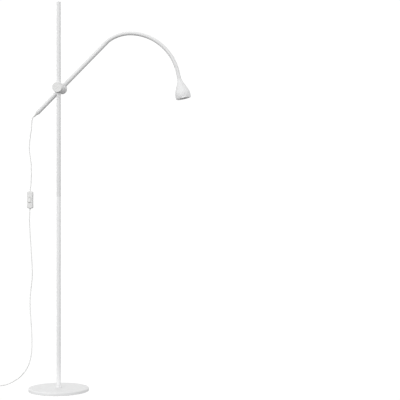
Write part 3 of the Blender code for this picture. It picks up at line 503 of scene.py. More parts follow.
def rounded_rectangle(width, height, corner, waist=0.0, per_corner=6, per_side=8):
    """(x, y) round a rectangle with rounded corners, always with the same number of points, its long sides drawn
    in by waist at their middles."""
    outline = []
    corner = min(corner, width / 2 - 1e-5, height / 2 - 1e-5)
    for turn, (sx, sy) in enumerate(((1, -1), (1, 1), (-1, 1), (-1, -1))):
        cx, cy = sx * (width / 2 - corner), sy * (height / 2 - corner)
        for step in range(per_corner + 1):
            angle = math.radians(90 * turn - 90 + 90 * step / per_corner)
            outline.append((cx + corner * math.cos(angle), cy + corner * math.sin(angle)))
        nx, ny = ((1, 1), (-1, 1), (-1, -1), (1, -1))[turn]
        start = Vector(outline[-1])
        end = Vector((nx * (width / 2 - corner), ny * height / 2)) if turn % 2 else Vector(
            (nx * width / 2, ny * (height / 2 - corner)))
        for step in range(1, per_side):
            outline.append(tuple(start.lerp(end, step / per_side)))
    half = height / 2
    return [(x * (1 - waist / (width / 2) * max(0.0, math.cos(y / half * math.pi / 2)) ** 2), y)
            for x, y in outline]


# ---------------------------------------------------------------- repeated details, grown by geometry nodes
def geometry_tree(name, inputs):
    """A new geometry node tree with named inputs, and its two end nodes."""
    tree = bpy.data.node_groups.new(name, "GeometryNodeTree")
    for label, kind in inputs:
        tree.interface.new_socket(label, in_out="INPUT", socket_type="NodeSocket" + kind)
    tree.interface.new_socket("Geometry", in_out="OUTPUT", socket_type="NodeSocketGeometry")
    return tree, tree.nodes.new("NodeGroupInput"), tree.nodes.new("NodeGroupOutput")


def repeated(tree, given, result, points, shape, scale=None):
    """Puts the shape on the points as real mesh, smooth and with the tree's material."""
    size = {} if scale is None else {"Scale": scale}
    made = add_node(tree, "GeometryNodeInstanceOnPoints", {"Points": points, "Instance": shape, **size})
    made = add_node(tree, "GeometryNodeRealizeInstances", {"Geometry": made.outputs["Instances"]})
    made = add_node(tree, "GeometryNodeSetShadeSmooth", {"Geometry": made.outputs["Geometry"]})
    made = add_node(tree, "GeometryNodeSetMaterial", {"Geometry": made.outputs["Geometry"],
                                                      "Material": given.outputs["Material"]})
    put_out(tree, result, Geometry=made.outputs["Geometry"])


def gn_circle(tree, radius, resolution):
    """A circle curve whose radius is a socket."""
    return add_node(tree, "GeometryNodeCurvePrimitiveCircle", {"Resolution": resolution,
                                                               "Radius": radius}).outputs["Curve"]


def make_taper_ribs():
    """Rings along a tapered strain relief, each as wide as the taper is there."""
    tree, given, result = geometry_tree(
        "taper_ribs", [("Count", "Int"), ("Length", "Float"), ("Wide Radius", "Float"), ("Narrow Radius", "Float"),
                       ("Rib Radius", "Float"), ("Material", "Material")])
    end = add_node(tree, "ShaderNodeCombineXYZ", {"Z": given.outputs["Length"]})
    line = add_node(tree, "GeometryNodeMeshLine", {"Count": given.outputs["Count"],
                                                   "Offset": end.outputs["Vector"]}, mode="END_POINTS")
    index = tree.nodes.new("GeometryNodeInputIndex").outputs["Index"]
    share = math_node(tree, "DIVIDE", index, math_node(tree, "SUBTRACT", given.outputs["Count"], 1.0))
    width = math_node(tree, "DIVIDE", given.outputs["Narrow Radius"], given.outputs["Wide Radius"])
    loss = math_node(tree, "MULTIPLY", share, math_node(tree, "SUBTRACT", 1.0, width))
    size = math_node(tree, "SUBTRACT", 1.0, loss)
    scale = add_node(tree, "ShaderNodeCombineXYZ", {"X": size, "Y": size, "Z": 1.0})
    ring = add_node(tree, "GeometryNodeCurveToMesh", {
        "Curve": gn_circle(tree, given.outputs["Wide Radius"], 40),
        "Profile Curve": gn_circle(tree, given.outputs["Rib Radius"], 8)})
    repeated(tree, given, result, line.outputs["Mesh"], ring.outputs["Mesh"], scale.outputs["Vector"])
    return tree


def make_grip_bars():
    """A row of round-backed bars across a grip."""
    tree, given, result = geometry_tree(
        "grip_bars", [("Count", "Int"), ("Pitch", "Float"), ("Bar Length", "Float"), ("Bar Radius", "Float"),
                      ("Material", "Material")])
    pitch = add_node(tree, "ShaderNodeCombineXYZ", {"Y": given.outputs["Pitch"]})
    line = add_node(tree, "GeometryNodeMeshLine", {"Count": given.outputs["Count"],
                                                   "Offset": pitch.outputs["Vector"]}, mode="OFFSET")
    halves = [math_node(tree, "MULTIPLY", given.outputs["Bar Length"], sign) for sign in (-0.5, 0.5)]
    ends = [add_node(tree, "ShaderNodeCombineXYZ", {"X": half}).outputs["Vector"] for half in halves]
    bar = add_node(tree, "GeometryNodeCurvePrimitiveLine", {"Start": ends[0], "End": ends[1]})
    solid = add_node(tree, "GeometryNodeCurveToMesh", {
        "Curve": bar.outputs["Curve"], "Profile Curve": gn_circle(tree, given.outputs["Bar Radius"], 10),
        "Fill Caps": True})
    repeated(tree, given, result, line.outputs["Mesh"], solid.outputs["Mesh"])
    return tree


TAPER_RIBS = make_taper_ribs()
GRIP_BARS = make_grip_bars()


def grown(name, tree, place, finish, **sizes):
    """The mesh that a geometry tree grows, put in its place."""
    seed = bpy.data.objects.new(name, bpy.data.meshes.new(name))
    bpy.context.scene.collection.objects.link(seed)
    grower = seed.modifiers.new("grow", "NODES")
    grower.node_group = tree
    values = {label.replace("_", " "): value for label, value in sizes.items()}
    values["Material"] = finish
    for item in tree.interface.items_tree:
        if item.in_out == "INPUT":
            grower[item.identifier] = values[item.name]
    bpy.context.view_layer.update()
    evaluated = seed.evaluated_get(bpy.context.evaluated_depsgraph_get())
    mesh = bpy.data.meshes.new_from_object(evaluated)
    bpy.data.objects.remove(seed)
    mesh.transform(place)
    mesh.name = name
    return linked_piece(name, mesh, finish)


def on_body(piece, body, slot, *nodes):
    """The piece rides on a body and stands for the nodes, which are hidden. The slot is not used."""
    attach(piece, body)
    if nodes:
        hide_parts(*nodes)
    return piece


# ---------------------------------------------------------------- cord, from the arm's tail to the plug
HANG_UPPER = [(-0.1152, 1.0462), (-0.1174, 1.0370), (-0.1183, 1.0220), (-0.1193, 1.0080), (-0.1220, 0.9880),
              (-0.1247, 0.9690), (-0.1268, 0.9500), (-0.1277, 0.9300)]
HANG_MIDDLE = [(-0.1277, 0.9300), (-0.1264, 0.9120), (-0.1231, 0.8920), (-0.1204, 0.8680), (-0.1195, 0.8480),
               (-0.1197, 0.8200), (-0.1212, 0.7920), (-0.1236, 0.7740), (-0.1243, 0.7630)]
HANG_LOWER = [(-0.1243, 0.0350, 0.6990), (-0.1258, 0.0350, 0.6850), (-0.1270, 0.0350, 0.6500),
              (-0.1247, 0.0350, 0.6030), (-0.1215, 0.0350, 0.5560), (-0.1187, 0.0350, 0.5100),
              (-0.1160, 0.0350, 0.4630), (-0.1157, 0.0350, 0.4380), (-0.1173, 0.0350, 0.4160),
              (-0.1227, 0.0350, 0.3700), (-0.1247, 0.0350, 0.3240), (-0.1222, 0.0350, 0.2780),
              (-0.1187, 0.0350, 0.2310), (-0.1171, 0.0350, 0.1840), (-0.1190, 0.0355, 0.1380),
              (-0.1240, 0.0365, 0.1130), (-0.1322, 0.0380, 0.0900), (-0.1430, 0.0400, 0.0705),
              (-0.1575, 0.0430, 0.0530), (-0.1750, 0.0470, 0.0375), (-0.1950, 0.0515, 0.0245),
              (-0.2160, 0.0560, 0.0140), (-0.2360, 0.0593, 0.0070), (-0.2560, 0.0612, 0.0036),
              (-0.2700, 0.0619, 0.0034), (-0.2825, 0.0620, 0.0036)]


def coil_route():
    """The cord's turns: three side by side on the floor, going in, then out again over the top of them."""
    stops = [(90, 0, COIL_LOW), (405, 0, COIL_LOW), (450, 1, COIL_LOW), (765, 1, COIL_LOW), (810, 2, COIL_LOW),
             (1150, 2, COIL_LOW), (1215, 2, COIL_HIGH), (1300, 2, COIL_HIGH), (1365, 1, COIL_HIGH),
             (1525, 1, COIL_HIGH), (1590, 0, COIL_HIGH), (1620, 0, COIL_HIGH)]
    route = []
    for (angle, turn, height), (next_angle, next_turn, next_height) in zip(stops, stops[1:]):
        steps = max(1, round((next_angle - angle) / 9))
        for step in range(steps):
            t = step / steps
            ease = t * t * (3 - 2 * t)
            radius = COIL_TURNS[turn] + (COIL_TURNS[next_turn] - COIL_TURNS[turn]) * ease
            at = math.radians(angle + (next_angle - angle) * t)
            route.append(COIL_MIDDLE + Vector((radius * math.cos(at), radius * math.sin(at),
                                               height + (next_height - height) * ease)))
    return route


def make_cords():
    """The cord in the three lengths that its joints part it into."""
    tip, bend = (TILT_POINT - (RELIEF_TIP + more) * ARM_DIRECTION for more in (-0.006, 0.004))
    upper = [tip, *smooth_route([bend, *((x, ARM_Y, z) for x, z in HANG_UPPER)], CORD_STEP)]
    middle = smooth_route([(x, ARM_Y, z) for x, z in HANG_MIDDLE], CORD_STEP)
    plug_end = PLUG_MIDDLE + CORD_IN_PLUG * BACK
    away = [COIL_MIDDLE + Vector((-COIL_TURNS[0], -0.012, COIL_HIGH)), plug_end + CORD_RUN_IN * BACK, plug_end]
    lower = smooth_route([*HANG_LOWER, *coil_route(), *away], CORD_STEP)

    made, routes = {}, {"cord_upper": upper, "cord_between": middle, "cord_lower": lower}
    for name, route in routes.items():
        made[name] = swept(name, route, CORD_R, FLEX, 14)
    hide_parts("cord_top")
    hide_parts("cord_middle")
    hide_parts("cord_low", "cord_coil", "cord_end")
    return made, routes


cords, cord_routes = make_cords()


def make_tail():
    """The gland in the arm's tail and the ribbed relief that the cord leaves by."""
    back = -ARM_DIRECTION
    seat = TILT_POINT - 0.1300 * ARM_DIRECTION
    gland = turned("tail_gland_plug", rounded([(0, -0.010), (0.0065, -0.010), (0.0065, 0), (ARM_R, 0, 0.0002),
                                               (ARM_R, 0.0023, 0.0008), (0, 0.0023)]), seat, back, PLASTIC, 64)
    on_body(gland, "arm", "white_plastic", "tail_gland")
    start = seat - 0.0026 * ARM_DIRECTION
    core = turned("tail_bend_relief", rounded([(0, 0), (0.0068, 0, 0.0003), (0.0066, 0.0014, 0.0016),
                                               (0.0048, 0.0050, 0.0040), (0.0041, 0.0090), (0.0029, 0.0196, 0.0004),
                                               (0.00245, 0.0200), (0, 0.0200)]), start, back, RELIEF_PLASTIC, 64)
    on_body(core, "arm", "white_cord", "strain_relief")
    ribs = grown("tail_relief_ribs", TAPER_RIBS, facing(start - 0.0066 * ARM_DIRECTION, back), RELIEF_PLASTIC,
                 Count=6, Length=0.0118, Wide_Radius=0.0043, Narrow_Radius=0.0030, Rib_Radius=0.00055)
    on_body(ribs, "arm", "white_cord")
    return [core, ribs]


def make_plug():
    """A flat two-pin plug with a ribbed relief and grip bars."""
    # Along the plug: its width, its thickness and the rounding of its corners.
    stations = [(-0.0180, 0.0226, 0.0110, 0.0040), (-0.0178, 0.0240, 0.0122, 0.0045),
                (-0.0170, 0.0250, 0.0132, 0.0050), (-0.0155, 0.0254, 0.0136, 0.0052),
                (-0.0060, 0.0254, 0.0136, 0.0052), (-0.0020, 0.0246, 0.0132, 0.0052),
                (0.0030, 0.0222, 0.0124, 0.0050), (0.0080, 0.0200, 0.0118, 0.0048), (0.0120, 0.0180, 0.0110, 0.0046),
                (0.0150, 0.0152, 0.0102, 0.0044), (0.0168, 0.0128, 0.0094, 0.0042), (0.0177, 0.0108, 0.0084, 0.0038),
                (0.0180, 0.0092, 0.0076, 0.0034)]
    rings = [[PLUG_MIDDLE + Vector((x, along, z)) for x, z in rounded_rectangle(width, height, corner)]
             for along, width, height, corner in stations]
    body = on_body(lofted("plug_shell", rings, PLASTIC, 40), "stand", "white_plastic", "plug_body")
    pieces = [body]
    relief_root = PLUG_MIDDLE + Vector((0, 0.0176, 0))
    core = turned("plug_bend_relief", rounded([(0, 0), (0.0042, 0, 0.0004), (0.0042, 0.0030, 0.0005),
                                               (0.0037, 0.0036), (0.0029, 0.0196, 0.0004), (0.00240, 0.0202),
                                               (0, 0.0202)]), relief_root, BACK, RELIEF_PLASTIC, 64)
    pieces.append(on_body(core, "stand", "white_plastic", "plug_relief"))
    ribs = grown("plug_relief_ribs", TAPER_RIBS, facing(relief_root + 0.0050 * BACK, BACK), RELIEF_PLASTIC, Count=7,
                 Length=0.0132, Wide_Radius=0.0037, Narrow_Radius=0.0031, Rib_Radius=0.00058)
    pieces.append(on_body(ribs, "stand", "white_plastic"))
    for side, label in ((1, "upper"), (-1, "lower")):
        place = Matrix.Translation(PLUG_MIDDLE + Vector((0, 0.0010, side * 0.0061)))
        bars = grown(f"plug_grip_{label}", GRIP_BARS, place, PLASTIC, Count=5, Pitch=0.0028, Bar_Length=0.0120,
                     Bar_Radius=0.00065)
        pieces.append(on_body(bars, "stand", "white_plastic"))
    for side, letter in ((1, "a"), (-1, "b")):
        root = PLUG_MIDDLE + Vector((side * 0.0095, -0.0175, 0))
        sleeve = [(0, 0), (0.0020, 0), (0.0020, 0.0100, 0.0002), (0.00185, 0.0102), (0, 0.0102)]
        pieces.append(on_body(turned(f"pin_sleeve_{letter}", rounded(sleeve), root, -BACK, GREY_PLASTIC, 40), "stand",
                              "grey_plastic"))
        pin = [(0, 0.0090), (0.0020, 0.0090), (0.0020, 0.0104, 0.0001), (0.0020, 0.0198, 0.0016), (0, 0.0198)]
        pieces.append(on_body(turned(f"plug_contact_pin_{letter}", rounded(pin, 8), root, -BACK, NICKEL, 40), "stand",
                              "brass", f"plug_pin_{letter}"))
    return pieces


def make_tie():
    """A woven strap round the coil, with its end lapped over on top."""
    low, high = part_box("cord_tie")
    middle = (low + high) / 2
    half_w, half_h, wall, half_y = (high.x - low.x) / 2, (high.z - low.z) / 2, 0.0008, (high.y - low.y) / 2
    outer = rounded_rectangle(2 * half_w, 2 * half_h, 0.0030)
    inner = rounded_rectangle(2 * (half_w - wall), 2 * (half_h - wall), 0.0024)
    rings = []
    for outline, y in ((inner, -half_y), (outer, -half_y), (outer, half_y), (inner, half_y)):
        edge = 0.0003 if outline is outer else 0.0
        side = -1 if y < 0 else 1
        rings.append([middle + Vector((x, y - side * edge, z)) for x, z in outline])
    band = lofted("coil_strap", rings, STRAP, 50, closed=True)
    on_body(band, "stand", "grey_plastic", "cord_tie")
    lap_rings = []
    for y in (-half_y + 0.0002, half_y - 0.0002):
        lap_rings.append([middle + Vector((x, y, half_h + z)) for x, z in
                          rounded([(-half_w * 0.55, -0.0003), (half_w * 0.7, -0.0003), (half_w * 0.7, 0.0006, 0.0004),
                                   (-half_w * 0.55, 0.0006, 0.0004)])])
    lap = lofted("coil_strap_end", lap_rings, STRAP, 40)
    return [band, on_body(lap, "stand", "grey_plastic")]


# ---------------------------------------------------------------- switch on the cord
def switch_point(x, y, z):
    """A place on the switch: across it, out of its front and up it."""
    return SWITCH_MIDDLE + Vector((x, -y, z))


def shell_rings(way, rounding, edge_out):
    """Half of the switch's case, from the seam outwards: way is 1 for the front and -1 for the back."""
    waist, seam = 0.0008, 0.00012

    def ring(inset, corner, out, drawn_in):
        outline = rounded_rectangle(SWITCH_W - 2 * inset, SWITCH_H - 2 * inset, corner, drawn_in)
        return [switch_point(x, way * out, z) for x, z in outline]

    rings = [ring(0.0015, 0.0045, seam, waist), ring(0.0003, 0.0053, seam, waist),
             ring(0, 0.0055, seam + 0.0003, waist)]
    for step in range(7):
        angle = math.radians(15 * step)
        inset = rounding * (1 - math.cos(angle))
        rings.append(ring(inset, 0.0055 - inset * 0.5, edge_out - rounding + rounding * math.sin(angle),
                          waist * (1 - step / 7)))
    return rings


def make_switch():
    """The switch's case, with its window, screws, cord collars and grip bars. Gives back the front of the case."""
    depth = SWITCH_D / 2
    window_w, window_h, bezel = 0.0098, 0.0214, 0.0019

    def ring(wider, corner, out):
        return [switch_point(x, out, z) for x, z in rounded_rectangle(window_w + wider, window_h + wider, corner)]

    front = shell_rings(1, 0.0024, depth - 0.0004)
    front += [ring(2 * bezel, 0.0028, depth - 0.0004), ring(2 * bezel - 0.0004, 0.0026, depth),
              ring(0.0008, 0.0014, depth), ring(0, 0.0010, depth - 0.0004), ring(0, 0.0010, depth - 0.0064)]
    shell = lofted("switch_front_shell", front, PLASTIC, 38)
    on_body(shell, "carriage", "white_plastic", "switch_front")

    rear = lofted("switch_rear_shell", shell_rings(-1, 0.0022, depth), PLASTIC, 38)
    holes = [drill_bit(0.0026, switch_point(0, -(depth - 0.0021), z), switch_point(0, -(depth + 0.002), z), 40)
             for z in (-SWITCH_SCREW_Z, SWITCH_SCREW_Z)]
    on_body(cut_away(rear, *holes), "carriage", "white_plastic", "switch_back")

    for z, letter in ((SWITCH_SCREW_Z, "a"), (-SWITCH_SCREW_Z, "b")):
        head = [(0, -0.0004), (0.0023, -0.0004), (0.0023, 0.0006, 0.0003), (0.0012, 0.0011, 0.0006), (0, 0.0012)]
        screw = turned(f"switch_screw_head_{letter}", rounded(head), switch_point(0, -(depth - 0.0018), z), BACK,
                       STEEL, 40)
        slots = []
        for turn in (45, 135):
            aside = Matrix.Rotation(math.radians(turn), 4, "Y")
            size = Matrix.Diagonal((0.0030, 0.0014, 0.0006, 1))
            corners = [Vector((x, y, zz)) for x in (-0.5, 0.5) for y in (-0.5, 0.5) for zz in (-0.5, 0.5)]
            centre = switch_point(0, -(depth - 0.0006), z)
            points = [Matrix.Translation(centre) @ aside @ size @ corner for corner in corners]
            sides = [(0, 1, 3, 2), (4, 6, 7, 5), (0, 4, 5, 1), (2, 3, 7, 6), (0, 2, 6, 4), (1, 5, 7, 3)]
            slots.append(piece_from("slot_bit", points, sides, STEEL))
        on_body(cut_away(screw, *slots), "carriage", "steel", f"switch_screw_{letter}")
    for end, label in ((1, "top"), (-1, "bottom")):
        root = switch_point(0, 0, end * (SWITCH_H / 2 - 0.0004))
        collar = rounded([(CORD_R * 0.9, 0), (0.0036, 0), (0.0036, 0.0014, 0.0005), (0.0029, 0.0036, 0.0005),
                          (CORD_R * 0.9, 0.0036)])
        on_body(turned(f"switch_cord_collar_{label}", collar, root, end * UP, RELIEF_PLASTIC, 48), "carriage",
                "white_plastic")
    for z, label in ((0.0205, "upper"), (-0.0285, "lower")):
        place = Matrix.Translation(switch_point(0, depth - 0.0006, z)) @ Matrix.Rotation(math.radians(90), 4, "X")
        on_body(grown(f"switch_grip_{label}", GRIP_BARS, place, PLASTIC, Count=5, Pitch=0.0020, Bar_Length=0.0100,
                      Bar_Radius=0.00042), "carriage", "white_plastic")
    return shell


def make_rocker():
    """The rocker, with a dished face, and its two printed marks."""
    half, proud, dish, lift, sunk = 0.0096, 0.0056, 0.0006, 0.00005, 0.0002
    tilt = Matrix.Rotation(math.radians(-6.0), 4, "X")
    pivot = SWITCH_MIDDLE - 0.0050 * BACK

    def place(x, out, z):
        return pivot + tilt @ Vector((x, -out, z))

    def face_at(z):
        return proud - dish * math.cos(z / half * math.pi / 2)

    outline = [(half * step / 8, face_at(half * step / 8)) for step in range(-8, 9)]
    outline += [(0.0100, 0.0030), (0.0080, -0.0025), (-0.0080, -0.0025), (-0.0100, 0.0030)]
    core = 0.0015
    rings = [[place(x, core + (out - core) * size, z * size) for z, out in outline]
             for x, size in ((-0.0045, 0.955), (-0.00435, 0.985), (-0.0041, 1.0), (0.0041, 1.0), (0.00435, 0.985),
                             (0.0045, 0.955))]
    on_body(lofted("rocker_cap", rings, ROCKER_PLASTIC, 30), "rocker", "white_plastic", "switch_rocker")

    def mark(name, middle, outer, inner):
        """A thin mark that follows the dished face round a middle, between two outlines."""
        loops = [[place(x, face_at(middle + z) + above, middle + z) for x, z in outline]
                 for outline, above in ((inner, -sunk), (inner, lift), (outer, lift), (outer, -sunk))]
        on_body(lofted(name, loops, MARK, closed=True), "rocker", "grey_plastic")

    circle = [(math.cos(math.tau * step / 40), math.sin(math.tau * step / 40)) for step in range(40)]
    mark("rocker_mark_ring", -0.0062, [(0.0013 * x, 0.0013 * z) for x, z in circle],
         [(0.0009 * x, 0.0009 * z) for x, z in circle])
    mark("rocker_mark_line", 0.0062, rounded_rectangle(0.0005, 0.0026, 0.0002),
         [(0.02 * x, 0.9 * z) for x, z in rounded_rectangle(0.0005, 0.0026, 0.0002)])


def declare_cords():
    """Makes the arm's tail, the switch, the rocker, the plug and the coil's strap, then bakes the place of each
    length of cord into its mesh.
    """
    relief = make_tail()
    switch = make_switch()
    make_rocker()
    plug, tie = make_plug(), make_tie()
    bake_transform(cords["cord_upper"])
    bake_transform(cords["cord_between"])
    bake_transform(cords["cord_lower"])


declare_cords()


# ---------------------------------------------------------------- base and pole
def make_base():
    """The shell over the weight, the pad under it and the ring round the pole's foot."""
    cover = rounded([(0.0051, 0.0135), (0.1150, 0.0135, 0.0050), (0.1150, 0.0009, 0.0004), (0.1135, 0.0009, 0.0003),
                     (0.1135, 0.0120, 0.0035), (0.0051, 0.0120)], 12)
    on_body(turned("base_shell", cover, (0, 0, 0), UP, ENAMEL, 200), "stand", "white_enamel", "base_cover")
    pad = rounded([(0, 0.0018), (0.1120, 0.0018, 0.0004), (0.1120, 0, 0.0005), (0, 0)])
    on_body(turned("base_floor_pad", pad, (0, 0, 0), UP, RUBBER, 120), "stand", "dark_rubber", "base_pad")
    collar = rounded([(0.0083, 0.0198), (0.0089, 0.0198, 0.0003), (0.0098, 0.0164, 0.0030), (0.0125, 0.0146, 0.0005),
                      (0.0125, 0.0138), (0.0083, 0.0138)], 6)
    on_body(turned("pole_foot_ring", collar, (0, 0, 0), UP, ENAMEL, 96), "stand", "white_enamel", "pole_foot_collar")


def make_pole():
    """The two lengths of the pole, and its end cap."""
    for name, node in (("pole_lower_length", "pole_lower_tube"), ("pole_upper_length", "pole_upper_tube")):
        low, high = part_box(node)
        profile = rounded([(POLE_R - 0.0012, high.z), (POLE_R, high.z, 0.0002), (POLE_R, low.z, 0.0002),
                           (POLE_R - 0.0012, low.z)], 3)
        on_body(turned(name, profile, (0, 0, 0), UP, ENAMEL, 96), "stand", "white_enamel", node)
    low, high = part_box("pole_top_cap")
    seat = 1.4868
    cap = [(0, high.z)] + [(POLE_R * math.sin(math.radians(a)), seat + 0.0004 + (high.z - seat - 0.0004)
                            * math.cos(math.radians(a))) for a in range(10, 91, 8)]
    cap += rounded([(POLE_R, seat, 0.0002), (0.0065, seat), (0.0065, low.z + 0.0010), (0.0060, low.z)])
    on_body(turned("pole_end_cap", [*cap, (0, low.z)], (0, 0, 0), UP, PLASTIC, 96), "stand", "white_plastic",
            "pole_top_cap")


# ---------------------------------------------------------------- clamp, knob and arm
def make_clamp():
    """The clamp on the pole with its two set screws, and the knob's wheel."""
    front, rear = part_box("clamp_body")[0].y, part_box("clamp_body")[1].y
    profile = rounded([(0, 0.0135), (0.0130, 0.0135), (0.0130, rear - 0.0010), (0.0193, rear - 0.0010),
                       (0.0193, rear, 0.0001), (BARREL_R, rear, 0.0005), (BARREL_R, front + 0.0055, 0.0030),
                       (0.0192, front, 0.0009), (0.0063, front, 0.0002), (0.0063, -0.0085), (0, -0.0085)], 6)
    housing = turned("clamp_housing", profile, KNOB_POINT, BACK, ENAMEL, 128)
    bits = [drill_bit(0.0105, KNOB_POINT - 0.03 * UP, KNOB_POINT + 0.03 * UP, 96)]
    groove = KNOB_POINT + 0.0174 * BACK
    for side in (1, -1):
        outward = Vector((side * 0.5, 0, -math.sqrt(0.75)))
        bits.append(drill_bit(0.0018, groove + 0.0117 * outward, groove + 0.0240 * outward, 32))
    on_body(cut_away(housing, *bits), "clamp", "white_enamel", "clamp_body")
    for side, letter in ((1, "a"), (-1, "b")):
        outward = Vector((side * 0.5, 0, -math.sqrt(0.75)))
        shank = rounded([(0, 0.0115), (0.0015, 0.0115, 0.0002), (0.0015, 0.0196, 0.0003), (0, 0.0196)], 4)
        screw = turned(f"grub_screw_{letter}", shank, groove, outward, STEEL, 40)
        socket = turned("socket_bit", [(0, 0.0210), (0.0009, 0.0210), (0.0009, 0.0182), (0, 0.0182)], groove, outward,
                        STEEL, 6)
        on_body(cut_away(screw, socket), "clamp", "steel", f"tilt_screw_{letter}")

    low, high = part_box("knob_disc")
    front, back = low.y, high.y
    disc = rounded([(0, front + 0.00025), (0.0150, front + 0.00010, 0.004), (0.0178, front, 0.0006),
                    (0.0190, front, 0.0013), (0.0190, back, 0.0008), (0.0043, back), (0.0043, back - 0.0049),
                    (0, back - 0.0049)], 8)
    on_body(turned("knob_wheel", disc, KNOB_POINT, BACK, PLASTIC, 128), "knob", "white_plastic", "knob_disc")


def make_arm():
    """The rear half of the barrel that turns with the arm, the arm, and the socket for the neck."""
    front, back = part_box("arm_holder")[0].y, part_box("arm_holder")[1].y
    face = 0.0217
    profile = rounded([(0, back - 0.0012), (0.0163, back - 0.0012), (0.0163, back, 0.0003), (BARREL_R, back, 0.0012),
                       (BARREL_R, face, 0.0005), (0.0127, face), (0.0127, 0.0199), (0.0112, 0.0199),
                       (0.0112, 0.0149), (0.0127, 0.0149), (0.0127, front), (0, front)], 8)
    holder = turned("arm_clamp_barrel", profile, KNOB_POINT, BACK, ENAMEL, 128)
    reach = 0.032 * ARM_DIRECTION
    bore = drill_bit(0.0083, TILT_POINT - reach, TILT_POINT + reach, 96)
    on_body(cut_away(holder, bore), "arm", "white_enamel", "arm_holder")
    low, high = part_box("holder_cap")
    cap = rounded([(0, high.y), (0.0160, high.y, 0.0005), (0.0160, low.y), (0, low.y)], 6)
    on_body(turned("holder_end_disc", cap, KNOB_POINT, BACK, PLASTIC, 128), "arm", "white_plastic", "holder_cap")

    tube = rounded([(0.0068, -0.1297), (0.0068, 0.2470), (ARM_R, 0.2470, 0.0002), (ARM_R, -0.1297, 0.0003)], 3)
    on_body(turned("arm_length", tube, TILT_POINT, ARM_DIRECTION, ENAMEL, 96), "arm", "white_enamel", "arm_tube")
    seat = 0.2473
    ferrule = rounded([(0.0066, seat - 0.0110), (0.0066, seat), (ARM_R, seat, 0.0002), (ARM_R, seat + 0.0062, 0.0014),
                       (0.00735, seat + 0.0072, 0.0003), (0.0066, seat + 0.0072), (0.0050, seat + 0.0040),
                       (0.0050, seat - 0.0110)], 6)
    on_body(turned("neck_socket", ferrule, TILT_POINT, ARM_DIRECTION, ENAMEL, 96), "arm", "white_enamel",
            "neck_ferrule")


# ---------------------------------------------------------------- flexible neck
def neck_at(distance):
    """The point on the neck's centreline that is a distance along it."""
    first = NECK_FIRST_R * NECK_FIRST_TURN
    heading = NECK_RISE - min(distance, first) / NECK_FIRST_R
    start = TILT_POINT + NECK_START * ARM_DIRECTION
    x = start.x + NECK_FIRST_R * (math.sin(NECK_RISE) - math.sin(heading))
    z = start.z + NECK_FIRST_R * (math.cos(heading) - math.cos(NECK_RISE))
    if distance > first:
        before = heading
        heading = before - (distance - first) / NECK_SECOND_R
        x += NECK_SECOND_R * (math.sin(before) - math.sin(heading))
        z += NECK_SECOND_R * (math.cos(heading) - math.cos(before))
    return Vector((x, ARM_Y, z))


def make_neck():
    """The sleeve, in one piece for each joint, which meet halfway between the joints."""
    link = NECK_LENGTH / NECK_LINKS
    seams = [0.0] + [(k + 0.5) * link for k in range(NECK_LINKS - 1)] + [NECK_LENGTH + 0.004]
    for index in range(NECK_LINKS):
        start, end = seams[index], seams[index + 1]
        count = round((end - start) / SLEEVE_STEP)
        route = [neck_at(start + (end - start) * i / count) for i in range(count + 1)]
        if index == 0:
            inside = [TILT_POINT + (NECK_START + back) * ARM_DIRECTION for back in (-0.0060, -0.0040, -0.0020)]
            route = smooth_route([*inside, *route[2:]], SLEEVE_STEP)
            route[-1] = neck_at(end)
        piece = swept(f"neck_sleeve_{index + 1}", route, NECK_R, SLEEVE, 40, start)
        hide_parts(f"neck_link_{index + 1}")
        bend_start = TILT_POINT + (NECK_START - 0.0020) * ARM_DIRECTION if index == 0 else neck_at(start)
        bend_end = neck_at(min(end, (index + 0.5) * link))
        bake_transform(piece)


# ---------------------------------------------------------------- head
def make_head():
    """The collar, the bell-shaped shade, the trim ring at its mouth and the lens."""
    mouth = neck_at(NECK_LENGTH) + HEAD_DOWN * (COLLAR_L + 0.0006 + SHADE_L)
    top, wall = SHADE_L, 0.0013

    def on_head(name, profile, finish, slot, *nodes, steps=128):
        return on_body(turned(name, profile, mouth, -HEAD_DOWN, finish, steps), "head", slot, *nodes)

    collar = rounded([(0, top + COLLAR_L), (0.0076, top + COLLAR_L, 0.0004), (0.0076, top), (0, top)])
    on_head("head_neck_collar", collar, ENAMEL, "white_enamel", "head_collar", steps=96)
    outline = smooth_route([Vector((radius, 0, height)) for radius, height in (
        (0.0077, top), (0.0083, 0.0712), (0.0099, 0.0650), (0.0125, 0.0584), (0.0163, 0.0500), (0.0206, 0.0400),
        (0.0249, 0.0300), (0.0278, 0.0220), (0.0290, 0.0150), (0.0291, 0.0080), (0.0286, 0.0004))], 0.0012)
    outer = [(point.x, point.z) for point in outline]
    lip = [(0.0285, 0.0002), (0.0283, 0.0000), (0.0272, 0.0000)]
    inner = [(point.x - wall, point.z) for point in reversed(outline) if 0.0030 < point.z < top - 0.0080]
    shade = [(0, top), *outer[:-1], *lip, *inner, (0, inner[-1][1] + 0.0010)]
    on_head("head_bell", shade, ENAMEL, "white_enamel", "head_shade", steps=160)
    ring = rounded([(0.0234, -0.0030, 0.0005), (0.0276, -0.0030, 0.0008), (0.0276, -0.0002), (0.0256, -0.0002),
                    (0.0256, 0.0065), (0.0234, 0.0065)], 4)
    on_head("lens_trim", ring, TRIM_PLASTIC, "grey_plastic", "lens_ring")
    face = [(0.0232, 0.0025), (0.0232, -0.0014), (0.0228, -0.0018)]
    rings = 15
    for index in range(rings):
        edge = 0.0223 * (1 - index / rings)
        face += [(edge, -0.0018), (edge - 0.0007, -0.0016 + 0.00002 * index)]
    on_head("lens_disc", [(0, 0.0025), *face, (0, 0.0004)], LENS_PLASTIC, "lens_plastic", "lens")


make_base()
make_pole()
make_clamp()
make_arm()
make_neck()
make_head()

